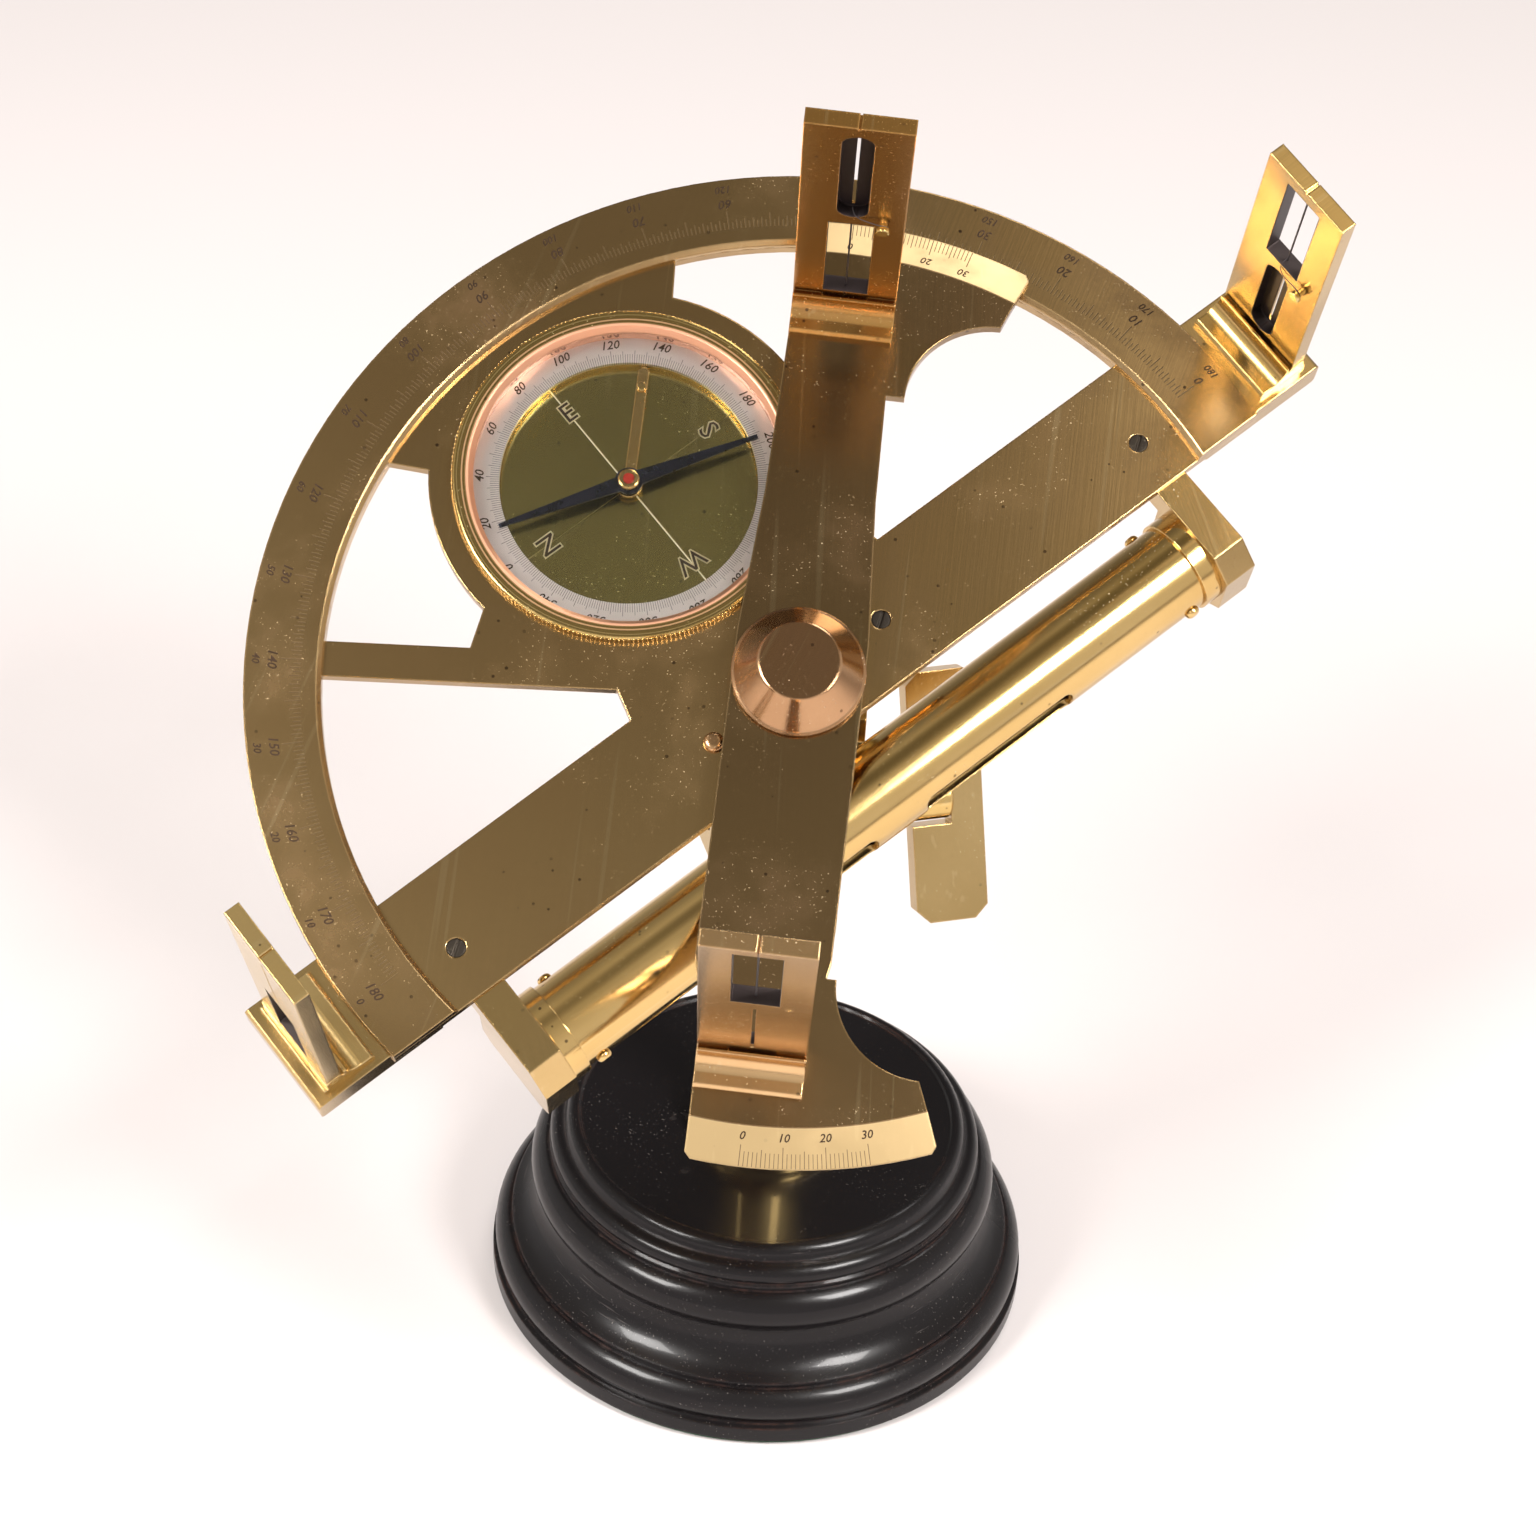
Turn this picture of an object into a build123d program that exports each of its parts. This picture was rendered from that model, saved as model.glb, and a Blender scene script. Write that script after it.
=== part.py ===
from build123d import *
import os
from math import cos, radians, sin, sqrt

# A surveyor's graphometer on its display stand. Lengths are in millimetres and angles in degrees.
# The origin is the middle of the stand's underside; Z is up and -Y is the front.
# Positions on the instrument are given as (along the bar, toward the arc, above the limb's top face).

# fits
fit = 0.04
gap = 0.3

# stand
base_radius = 76.3
upper_radius = 64.3
rim_radius = 52.3
base_height = 55.0
pad_thickness = 1.2
flange_radius = 21.5
stem_radius = 11.5
collar_top = 127.0
spindle_radius = 8.0
spindle_top = 171.0

# yoke, with the clamp that runs across its socket
socket_radius = 15.0
cheek_inner = 8.6
cheek_outer = 14.6
cheek_radius = 12.0
tilt_height = 191.3
pin_radius = 4.0
clamp_height = 161.0
clamp_yaw = 17.5
clamp_half = 22.0
wing_length = 69.0
wing_width = 20.0
wing_thickness = 6.0
wing_lean = 25.0
wing_start = 33.5
notch_depth = 11.0
notch_height = 15.0

# how the instrument stands on its joint
plate_tilt = 36.33
plate_turn = 41.95
plate_reach = 34.0
alidade_angle = 45.1

# limb and frame
limb_outer = 140.0
limb_inner = 120.5
limb_thickness = 2.5
limb_bevel = 1.2
frame_thickness = 3.0
bar_low = -16.3
bar_high = 17.6
spoke_angle = 139.4
spoke_width = 9.4
boss_screw_at = 27.0
end_reach = limb_outer + 21.0
end_half_width = 15.5
end_step = 1.0

# compass
compass_at = 70.5
disc_radius = 51.6
box_radius = 42.9
dial_radius = 33.5
needle_half = 35.6
needle_angle = -17.2
lifter_angle = 45.5

# spirit level
tube_at = -32.0
tube_depth = -17.0
tube_radius = 12.0
tube_bore = 10.3
tube_half = 105.4
block_thickness = 9.5
window_angle = 25.0
window_near = 8.0
window_far = 56.0
vial_radius = 8.2

# alidade
alidade_low = 0.35
alidade_high = 3.5
vernier_inner = 116.7
vernier_outer = 126.6
vernier_end = 22.2
alidade_half = 13.4
alidade_waist = 16.8
scoop_radius = 22.8
scoop_x = 78.0
scoop_y = -41.3
stud_radius = 5.0
stud_tip = 3.5
knob_radius = 17.1
knob_top_radius = 10.7
knob_top = 13.2

# sights: each stands on a foot and turns on a pin; x runs from its inner face
sight_half = 13.4
sight_thickness = 4.2
slab = 1.9
pin_level = 4.7
pin_x = 2.1
barrel = 2.5
tongue_half = 5.7
sight_pin = 1.0
sight_start = 7.5
wall_inner = -0.8
wall_outer = -1.6
wall_top = 7.2
notch_half = 0.3
sight_notch = 0.8
peg_at = -8.0
peg_rise = 1.2
peg_radius = 0.8
window_half = 5.7
slot_half = 3.9
slit_half = 0.4
web = 1.0
hair_radius = 0.25

limb_top = 0.0
frame_top = limb_top - limb_thickness
frame_low = frame_top - frame_thickness
sin_tilt = sin(radians(plate_tilt))
cos_tilt = cos(radians(plate_tilt))
normal = Vector(0, -sin_tilt, cos_tilt)
uphill = Vector(0, cos_tilt, sin_tilt)
right = Vector(1, 0, 0)
joint = Vector(0, 0, tilt_height)


def turned_frame(angle):
    """A plane on the limb's top face, centred on its pivot, with x at an angle from the level line."""
    x_dir = right * cos(radians(angle)) + uphill * sin(radians(angle))
    return Plane(origin=joint + normal * plate_reach, x_dir=x_dir, z_dir=normal)


plate = turned_frame(plate_turn)
alidade = turned_frame(plate_turn + alidade_angle)
head = Plane(origin=joint, x_dir=right, z_dir=normal)


def point(frame, x, y, z):
    return frame.from_local_coords(Vector(x, y, z))


def across(frame, x):
    """A plane square to a frame's x: its own x is the frame's y, and its y is the height."""
    return Plane(origin=point(frame, x, 0, 0), x_dir=frame.y_dir, z_dir=frame.x_dir)


def lengthwise(frame, x, y):
    """A plane square to a frame's y: its own x runs along the frame's x, and its y is the height."""
    return Plane(origin=point(frame, x, y, 0), x_dir=frame.x_dir, z_dir=-frame.y_dir)


def axis_at(frame, x, y):
    return Axis(origin=point(frame, x, y, 0), direction=frame.z_dir)


def save(piece, name):
    piece.part.label = name
    export_step(piece.part, "parts/" + name + ".step")


def disc(frame, x, y, low, high, radius):
    """Add or cut a round slab inside the open part."""
    with BuildSketch(frame.offset(low)) as outline:
        with Locations((x, y)):
            Circle(radius)
    return extrude(outline.sketch, amount=high - low)


def screw(frame, x, y, top, head_radius, head_height, shank_radius, length, domed=False):
    """A slotted screw whose head stands below a given top level."""
    disc(frame, x, y, top - head_height, top, head_radius)
    if domed:
        crown = edges().filter_by(GeomType.CIRCLE).sort_by_distance(point(frame, x, y, top))[0]
        fillet(crown, head_height * 0.8)
    disc(frame, x, y, top - head_height - length, top - head_height, shank_radius)
    with BuildSketch(frame.offset(top - head_height * 0.4)) as slot:
        with Locations(Location((x, y, 0), (0, 0, 35))):
            Rectangle(2.2 * head_radius, 0.7)
    extrude(slot.sketch, amount=head_height, mode=Mode.SUBTRACT)


os.makedirs("parts", exist_ok=True)

# ---------------------------------------------------------------- stand
recess_radius = 16.0
recess_top = 14.0
tenon_radius = 5.0
seat = base_height - 0.7

with BuildPart() as plinth:
    with BuildSketch(Plane.XZ):
        with BuildLine():
            l1 = Polyline((0, pad_thickness), (base_radius - 0.8, pad_thickness), (base_radius, 2), (base_radius, 6.5))
            l2 = Polyline(l1 @ 1, (base_radius - 1.6, 7.1), (base_radius - 1.6, 8.0))
            l3 = RadiusArc(l2 @ 1, (base_radius - 4.2, 17.0), -6.2)
            l4 = Polyline(l3 @ 1, (base_radius - 5.2, 17.0), (base_radius - 5.2, 18.8), (base_radius - 6.6, 19.6))
            l5 = RadiusArc(l4 @ 1, (upper_radius - 1.6, 29.5), 13)
            l6 = Line(l5 @ 1, (upper_radius - 1.6, 31.0))
            l7 = RadiusArc(l6 @ 1, (upper_radius - 2.4, base_height - 11.4), -7.4)
            l8 = Polyline(
                l7 @ 1,
                (upper_radius - 3.4, base_height - 11.2),
                (upper_radius - 3.4, base_height - 9.6),
                (upper_radius - 4.0, base_height - 9),
            )
            l9 = RadiusArc(l8 @ 1, (upper_radius - 6.6, base_height - 4.2), -3.2)
            l10 = Polyline(l9 @ 1, (rim_radius + 4.6, base_height - 3.8), (rim_radius + 4.0, base_height - 2.4))
            l11 = RadiusArc(l10 @ 1, (rim_radius + 1.6, base_height), -3.0)
            l12 = Polyline(l11 @ 1, (rim_radius + 0.6, base_height), (rim_radius, seat), (0, seat), l1 @ 0)
        make_face()
    revolve(axis=Axis.Z)
    with BuildSketch(Plane.XY):
        Circle(recess_radius)
    extrude(amount=recess_top, mode=Mode.SUBTRACT)
    with BuildSketch(Plane.XY):
        Circle(tenon_radius + 0.2)
    extrude(amount=base_height, mode=Mode.SUBTRACT)
save(plinth, "plinth")

with BuildPart() as baize_pad:
    with BuildSketch(Plane.XY):
        Circle(base_radius - 1.6)
    extrude(amount=pad_thickness)
save(baize_pad, "baize_pad")

with BuildPart() as fixing_washer:
    with BuildSketch(Plane.XY.offset(recess_top - 1.6)):
        Circle(13)
        Circle(tenon_radius + 0.2, mode=Mode.SUBTRACT)
    extrude(amount=1.6)
save(fixing_washer, "fixing_washer")

with BuildPart() as fixing_nut:
    with BuildSketch(Plane.XY.offset(recess_top - 8.0)):
        RegularPolygon(radius=9, side_count=6)
        Circle(tenon_radius, mode=Mode.SUBTRACT)
    extrude(amount=6.4)
    chamfer(edges().group_by(Axis.Z)[0].filter_by(GeomType.LINE), 0.8)
save(fixing_nut, "fixing_nut")

with BuildPart() as pillar:
    with BuildSketch(Plane.XZ):
        with BuildLine():
            p0 = Polyline((0, 4), (tenon_radius, 4), (tenon_radius, seat), (flange_radius, seat))
            p1 = Line(p0 @ 1, (flange_radius, base_height + 3))
            p2 = RadiusArc(p1 @ 1, (flange_radius - 3.4, base_height + 10.4), -6)
            p3 = Polyline(p2 @ 1, (flange_radius - 5.4, base_height + 11.2), (flange_radius - 5.4, base_height + 12.4))
            p4 = RadiusArc(p3 @ 1, (stem_radius, base_height + 23), 13)
            p5 = Line(p4 @ 1, (stem_radius - 0.8, 114))
            p6 = RadiusArc(p5 @ 1, (14, 120), 7)
            p7 = Polyline(p6 @ 1, (14, 121.5), (15.5, 122.3), (15.5, collar_top - 0.7), (14.8, collar_top))
            p8 = Polyline(p7 @ 1, (spindle_radius, collar_top), (spindle_radius, spindle_top - 0.8))
            p9 = Polyline(p8 @ 1, (spindle_radius - 0.8, spindle_top), (0, spindle_top), (0, 4))
        make_face()
    revolve(axis=Axis.Z)
save(pillar, "pillar")

# ---------------------------------------------------------------- yoke and clamps
yaw = radians(clamp_yaw)
clamp_dir = Vector(cos(yaw), sin(yaw), 0)
clamp_side = Vector(-sin(yaw), cos(yaw), 0)
clamp_centre = Vector(0, 0, clamp_height)
clamp_section = Plane(origin=clamp_centre, x_dir=clamp_side, z_dir=clamp_dir)
socket_low = collar_top + gap
socket_closed = spindle_top + gap
yoke_top = 176.0
screw_radius = 4.0

with BuildPart() as yoke:
    with BuildSketch(Plane.XY.offset(socket_low)):
        Circle(socket_radius)
    extrude(amount=yoke_top - socket_low)
    with BuildSketch(clamp_section.offset(-clamp_half)):
        RectangleRounded(17, 20, 2)
    extrude(amount=2 * clamp_half)
    with BuildSketch(Plane.XY.offset(socket_low)):
        Circle(spindle_radius + fit)
    extrude(amount=socket_closed - socket_low, mode=Mode.SUBTRACT)
    with BuildSketch(Plane.YZ.offset(-cheek_outer)):
        with Locations((0, tilt_height)):
            Circle(cheek_radius)
        with Locations((0, (tilt_height + 166) / 2)):
            Rectangle(2 * cheek_radius, tilt_height - 166)
    extrude(amount=2 * cheek_outer)
    with BuildSketch(Plane.YZ.offset(-cheek_inner)):
        with Locations((0, (yoke_top + 210) / 2)):
            Rectangle(3 * cheek_radius, 210 - yoke_top)
    extrude(amount=2 * cheek_inner, mode=Mode.SUBTRACT)
    with BuildSketch(Plane.XY.offset(socket_low)):
        Circle(spindle_radius + fit)
    extrude(amount=socket_closed - socket_low, mode=Mode.SUBTRACT)
    with BuildSketch(Plane.YZ.offset(-cheek_outer)):
        with Locations((0, tilt_height)):
            Circle(pin_radius)
    extrude(amount=2 * cheek_outer, mode=Mode.SUBTRACT)
    with BuildSketch(clamp_section):
        Circle(screw_radius + fit)
    extrude(amount=clamp_half, mode=Mode.SUBTRACT)
    with BuildSketch(clamp_section.offset(-clamp_half)):
        Circle(2.4)
    extrude(amount=4, mode=Mode.SUBTRACT)
save(yoke, "yoke")

hub_start = clamp_half + 1.5
with BuildPart() as clamp_screw:
    with BuildSketch(clamp_section.offset(spindle_radius + 0.5)):
        Circle(screw_radius)
    extrude(amount=hub_start - spindle_radius - 0.5)
    with BuildSketch(clamp_section.offset(hub_start)):
        Circle(6.4)
    extrude(amount=wing_start + notch_depth - hub_start)
    chamfer(edges().filter_by(GeomType.CIRCLE).sort_by(SortBy.RADIUS)[-2:], 0.8)
    with BuildSketch(clamp_section.offset(wing_start + notch_depth)):
        Circle(2.5)
    extrude(amount=6)
save(clamp_screw, "clamp_screw")

lean = radians(wing_lean)
wing_up = Vector(0, 0, 1) * cos(lean) + clamp_side * sin(lean)
wing_plane = Plane(origin=clamp_centre, x_dir=clamp_dir, z_dir=clamp_dir.cross(wing_up))
with BuildPart() as clamp_wing:
    with BuildSketch(wing_plane.offset(-wing_thickness / 2)) as outline:
        with Locations((wing_start + wing_width / 2, 0)):
            Rectangle(wing_width, wing_length)
        chamfer(vertices(), 3.6)
        with Locations((wing_start + notch_depth / 2, 0)):
            Rectangle(notch_depth, notch_height, mode=Mode.SUBTRACT)
    extrude(amount=wing_thickness)
    with BuildSketch(clamp_section.offset(wing_start + notch_depth)):
        Circle(2.5)
    extrude(amount=6, mode=Mode.SUBTRACT)
save(clamp_wing, "clamp_wing")

with BuildPart() as tilt_pin:
    with BuildSketch(Plane.YZ.offset(-cheek_outer)):
        with Locations((0, tilt_height)):
            Circle(pin_radius)
    extrude(amount=2 * cheek_outer + 3.6)
    with BuildSketch(Plane.YZ.offset(-cheek_outer - 3)):
        with Locations((0, tilt_height)):
            Circle(7)
    extrude(amount=3)
    fillet(edges().filter_by(GeomType.CIRCLE).sort_by(Axis.X)[0], 1.2)
save(tilt_pin, "tilt_pin")

with BuildPart() as tilt_nut:
    with BuildSketch(Plane.YZ.offset(cheek_outer)):
        with Locations((0, tilt_height)):
            RegularPolygon(radius=8, side_count=8)
            Circle(pin_radius, mode=Mode.SUBTRACT)
    extrude(amount=4)
save(tilt_nut, "tilt_nut")

# ---------------------------------------------------------------- tilting head
knuckle_radius = 11.0
sleeve_radius = 13.0
sleeve_low = cheek_radius + 1.0
journal_radius = 7.0
boss_low = frame_low - 4.0
sleeve_top = plate_reach + boss_low - gap
journal_low = plate_reach + boss_low - 12.2
turn_screw_radius = 2.0
turn_screw_plane = Plane(origin=joint + normal * (journal_low + 5.5), x_dir=right, z_dir=uphill)

with BuildPart() as tilt_head:
    with BuildSketch(Plane.YZ.offset(-cheek_inner + gap)):
        with Locations((0, tilt_height)):
            Circle(knuckle_radius)
    extrude(amount=2 * (cheek_inner - gap))
    with BuildSketch(head):
        Rectangle(2 * (cheek_inner - gap), 18)
    extrude(amount=sleeve_low)
    with BuildSketch(head.offset(sleeve_low)):
        Circle(sleeve_radius)
    extrude(amount=sleeve_top - sleeve_low)
    chamfer(edges().filter_by(GeomType.CIRCLE).sort_by(SortBy.RADIUS)[-2:], 0.7)
    with BuildSketch(Plane.YZ.offset(-cheek_inner + gap)):
        with Locations((0, tilt_height)):
            Circle(pin_radius + fit)
    extrude(amount=2 * (cheek_inner - gap), mode=Mode.SUBTRACT)
    with BuildSketch(head.offset(journal_low - gap)):
        Circle(journal_radius + fit)
    extrude(amount=20, mode=Mode.SUBTRACT)
    with BuildSketch(turn_screw_plane):
        Circle(turn_screw_radius + fit)
    extrude(amount=20, mode=Mode.SUBTRACT)
save(tilt_head, "tilt_head")

with BuildPart() as turn_screw:
    with BuildSketch(turn_screw_plane.offset(journal_radius + 0.4)):
        Circle(turn_screw_radius)
    extrude(amount=7)
    with BuildSketch(turn_screw_plane.offset(journal_radius + 7.4)):
        Circle(4.2)
    extrude(amount=4.2)
    chamfer(edges().filter_by(GeomType.CIRCLE).sort_by(Axis(origin=joint, direction=uphill))[-1], 0.6)
save(turn_screw, "turn_screw")

# ---------------------------------------------------------------- frame and limb
with BuildPart() as boss:
    with BuildSketch(plate.offset(boss_low)):
        SlotCenterToCenter(2 * boss_screw_at, 14)
        Circle(16)
    extrude(amount=frame_low - boss_low)
    with BuildSketch(plate.offset(boss_low)):
        Circle(journal_radius)
    extrude(amount=-(plate_reach + boss_low - journal_low))
    with BuildSketch(plate.offset(boss_low)):
        with Locations((boss_screw_at, 0), (-boss_screw_at, 0)):
            Circle(1.6)
        Circle(stud_tip)
    extrude(amount=frame_low - boss_low, mode=Mode.SUBTRACT)
save(boss, "boss")


def spoke_window_corners(side):
    """The wedge between a spoke and the bar, cut square near the pivot."""
    reach = 2 * limb_outer
    along = Vector(cos(radians(spoke_angle)), sin(radians(spoke_angle)))
    lower = Vector(-along.Y, along.X) * (spoke_width / 2)
    start = along * 45.6 + lower
    far = start + along * reach
    return [(side * -40.0, bar_high), (side * start.X, start.Y), (side * far.X, far.Y), (side * -reach, bar_high)]


def upper_window_corners(side):
    """The wedge between a spoke and the compass disc, up to the limb."""
    reach = 2 * limb_outer
    along = Vector(cos(radians(spoke_angle)), sin(radians(spoke_angle)))
    upper = Vector(along.Y, -along.X) * (spoke_width / 2)
    start = along * 83.5 + upper
    far = start + along * reach
    return [
        (side * -51.0, 64.5),
        (side * start.X, start.Y),
        (side * far.X, far.Y),
        (side * -reach * 0.7, reach),
        (side * -39.8, compass_at + 32.8),
        (side * -20.0, compass_at),
    ]


bar_screw_at = tube_half + block_thickness / 2
with BuildPart() as frame_plate:
    with BuildSketch(plate.offset(frame_low)):
        Circle(limb_outer)
        with Locations((0, bar_low - limb_outer)):
            Rectangle(2.2 * limb_outer, 2 * limb_outer, mode=Mode.SUBTRACT)
    extrude(amount=frame_thickness)
    for side in (1, -1):
        with BuildSketch(plate.offset(frame_low)):
            Polygon(*spoke_window_corners(side), align=None)
            Circle(limb_inner, mode=Mode.INTERSECT)
        extrude(amount=frame_thickness, mode=Mode.SUBTRACT)
        with BuildSketch(plate.offset(frame_low)):
            Polygon(*upper_window_corners(side), align=None)
            Circle(limb_inner, mode=Mode.INTERSECT)
            with Locations((0, compass_at)):
                Circle(disc_radius, mode=Mode.SUBTRACT)
        extrude(amount=frame_thickness, mode=Mode.SUBTRACT)
    with BuildSketch(plate.offset(frame_low)):
        Circle(stud_radius)
        with Locations((boss_screw_at, 0), (-boss_screw_at, 0)):
            Circle(1.6)
        with Locations((bar_screw_at, -3), (-bar_screw_at, -3)):
            Circle(1.4)
        with Locations((0, compass_at)):
            Circle(box_radius)
    extrude(amount=frame_thickness, mode=Mode.SUBTRACT)
    with BuildSketch(plate.offset(frame_top - 1.1)):
        with Locations((boss_screw_at, 0), (bar_screw_at, -3), (-bar_screw_at, -3)):
            Circle(2.5)
    extrude(amount=2, mode=Mode.SUBTRACT)
save(frame_plate, "frame_plate")

with BuildPart() as limb:
    with BuildSketch(plate.offset(frame_top)):
        Circle(limb_outer)
        Circle(limb_inner, mode=Mode.SUBTRACT)
        with Locations((0, bar_low - limb_outer)):
            Rectangle(2.2 * limb_outer, 2 * limb_outer, mode=Mode.SUBTRACT)
    extrude(amount=limb_thickness)
    top_rims = edges().filter_by(GeomType.CIRCLE).group_by(Axis(origin=plate.origin, direction=normal))[-1]
    chamfer(top_rims.group_by(SortBy.RADIUS)[0], limb_bevel)
save(limb, "limb")

end_top = limb_top - end_step
tongue_low = frame_low - 5.0
tongue_start = limb_outer - 16.0
block_start = limb_outer - 10.0
end_sight_at = limb_outer + 12.0
for name, side in (("left", -1), ("right", 1)):
    with BuildPart() as end_block:
        with BuildSketch(plate.offset(tongue_low)):
            with Locations((side * (end_reach + tongue_start) / 2, 0)):
                Rectangle(end_reach - tongue_start, 2 * end_half_width)
        extrude(amount=frame_low - tongue_low)
        with BuildSketch(plate.offset(frame_low)):
            with Locations((side * (end_reach + block_start) / 2, 0)):
                Rectangle(end_reach - block_start, 2 * end_half_width)
            Circle(limb_outer, mode=Mode.SUBTRACT)
        extrude(amount=end_top - frame_low)
        outer = edges().filter_by(Axis(origin=plate.origin, direction=plate.y_dir))
        tips = outer.sort_by(Axis(origin=plate.origin, direction=plate.x_dir * side))[-2:]
        chamfer(tips, 0.8)
    save(end_block, "end_block_" + name)

washer_high = alidade_low - gap
with BuildPart() as washer:
    with BuildSketch(plate.offset(frame_top)):
        Circle(15)
        Circle(stud_radius + 0.1, mode=Mode.SUBTRACT)
    extrude(amount=washer_high - frame_top)
save(washer, "washer")

with BuildPart() as pivot_stud:
    disc(plate, 0, 0, frame_low, alidade_high, stud_radius)
    disc(plate, 0, 0, boss_low, frame_low, stud_tip)
    disc(plate, 0, 0, alidade_high, knob_top - 2.5, stud_tip)
save(pivot_stud, "pivot_stud")

with BuildPart() as boss_screws:
    screw(plate, -boss_screw_at, 0, frame_top + 1.8, 2.7, 1.8, 1.6, 5, domed=True)
    screw(plate, boss_screw_at, 0, frame_top - 0.1, 2.4, 1.0, 1.6, 4)
save(boss_screws, "boss_screws")

with BuildPart() as knob:
    with BuildSketch(lengthwise(plate, 0, 0)):
        with BuildLine():
            k1 = Polyline((stud_tip + fit, alidade_high + gap), (knob_radius - 0.5, alidade_high + gap))
            k2 = Polyline(k1 @ 1, (knob_radius, alidade_high + gap + 0.5), (knob_radius, alidade_high + 1.6))
            k3 = Polyline(k2 @ 1, (knob_radius - 0.7, alidade_high + 2.0), (knob_top_radius, knob_top - 0.5))
            k4 = Polyline(k3 @ 1, (knob_top_radius - 0.5, knob_top), (0, knob_top), (0, knob_top - 2.2))
            k5 = Polyline(k4 @ 1, (stud_tip + fit, knob_top - 2.2), k1 @ 0)
        make_face()
    revolve(axis=axis_at(plate, 0, 0))
save(knob, "knob")

# ---------------------------------------------------------------- spirit level
level = Plane(origin=point(plate, 0, tube_at, tube_depth), x_dir=plate.x_dir, z_dir=plate.z_dir)
block_top = frame_top - 0.8
tongue_reach = 6.0
for name, side in (("left", -1), ("right", 1)):
    start = tube_half if side > 0 else -tube_half - block_thickness
    with BuildPart() as level_block:
        with BuildSketch(across(plate, start)):
            Polygon(
                (tongue_reach, frame_low),
                (bar_low, frame_low),
                (bar_low, block_top),
                (-39.3, block_top),
                (-45.8, block_top - 6.5),
                (-45.8, -26.5),
                (-42.3, -30.0),
                (-21.7, -30.0),
                (-18.2, -26.5),
                (-18.2, -12.0),
                (tongue_reach, -12.0),
                align=None,
            )
        extrude(amount=block_thickness)
        with BuildSketch(plate.offset(-13)):
            with Locations((side * bar_screw_at, -3)):
                Circle(1.4)
        extrude(amount=13 + frame_low, mode=Mode.SUBTRACT)
    save(level_block, "level_block_" + name)

with BuildPart() as level_block_screws:
    for side in (-1, 1):
        screw(plate, side * bar_screw_at, -3, frame_top - 0.1, 2.4, 1.0, 1.4, 7.5)
save(level_block_screws, "level_block_screws")

window_height = 2 * tube_radius * sin(radians(window_angle))
window_mid = (window_near + window_far) / 2
tube_screw_at = 96.0
with BuildPart() as level_tube:
    with BuildSketch(across(level, -tube_half)):
        Circle(tube_radius)
        Circle(tube_bore, mode=Mode.SUBTRACT)
    extrude(amount=2 * tube_half)
    with BuildSketch(Plane(origin=level.origin, x_dir=level.x_dir, z_dir=-level.y_dir)):
        with Locations((window_mid, 0), (-window_mid, 0)):
            RectangleRounded(window_far - window_near, window_height, 2.5)
    extrude(amount=2 * tube_radius, mode=Mode.SUBTRACT)
    with BuildSketch(Plane(origin=level.origin, x_dir=level.x_dir, z_dir=level.y_dir)):
        with Locations((tube_screw_at, 0), (-tube_screw_at, 0)):
            Circle(1.2)
    extrude(amount=2 * tube_radius, both=True, mode=Mode.SUBTRACT)
save(level_tube, "level_tube")

with BuildPart() as tube_collars:
    for start in (-tube_half, tube_half - 5.0):
        with BuildSketch(across(level, start)):
            Circle(tube_radius + 0.9)
            Circle(tube_radius, mode=Mode.SUBTRACT)
        extrude(amount=5.0)
save(tube_collars, "tube_collars")

with BuildPart() as tube_screws:
    for outward in (1, -1):
        seat_plane = Plane(origin=level.origin, x_dir=level.x_dir, z_dir=level.y_dir * outward)
        for side in (-1, 1):
            screw(seat_plane, side * tube_screw_at, 0, tube_radius + 1.5, 2.0, 1.5, 1.2, 3.0, domed=True)
save(tube_screws, "tube_screws")

vial_half = 92.0
with BuildPart() as vial:
    with BuildSketch(across(level, -vial_half)):
        Circle(vial_radius)
    extrude(amount=2 * vial_half)
    fillet(edges().filter_by(GeomType.CIRCLE), 3.5)
save(vial, "vial")

with BuildPart() as vial_plugs:
    for start in (-tube_half + 2, tube_half - 18):
        with BuildSketch(across(level, start)):
            Circle(tube_bore)
        extrude(amount=16)
    with BuildSketch(across(level, -vial_half)):
        Circle(vial_radius)
    extrude(amount=2 * vial_half, mode=Mode.SUBTRACT)
    with BuildSketch(Plane(origin=level.origin, x_dir=level.x_dir, z_dir=level.y_dir)):
        with Locations((tube_screw_at, 0), (-tube_screw_at, 0)):
            Circle(1.2)
    extrude(amount=2 * tube_radius, both=True, mode=Mode.SUBTRACT)
save(vial_plugs, "vial_plugs")

# ---------------------------------------------------------------- compass
compass = Plane(origin=point(plate, 0, compass_at, 0), x_dir=plate.x_dir, z_dir=plate.z_dir)
box_low = -13.0
dial_top = -10.5
ring_low = -8.2
ring_top = -7.0
glass_low = -3.9
box_bore = box_radius - 1.0

with BuildPart() as compass_box:
    disc(compass, 0, 0, box_low, frame_top, box_radius)
    with BuildSketch(compass.offset(dial_top - 1)):
        Circle(dial_radius)
    extrude(amount=20, mode=Mode.SUBTRACT)
    with BuildSketch(compass.offset(ring_low)):
        Circle(box_bore)
    extrude(amount=20, mode=Mode.SUBTRACT)
    with BuildSketch(compass.offset(box_low)):
        Circle(4)
    extrude(amount=-1.5)
save(compass_box, "compass_box")

with BuildPart() as compass_dial:
    disc(compass, 0, 0, dial_top - 1, dial_top, dial_radius)
save(compass_dial, "compass_dial")

with BuildPart() as compass_ring:
    disc(compass, 0, 0, ring_low, ring_top, box_bore)
    with BuildSketch(compass.offset(ring_low)):
        Circle(dial_radius)
    extrude(amount=3, mode=Mode.SUBTRACT)
save(compass_ring, "compass_ring")

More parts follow.
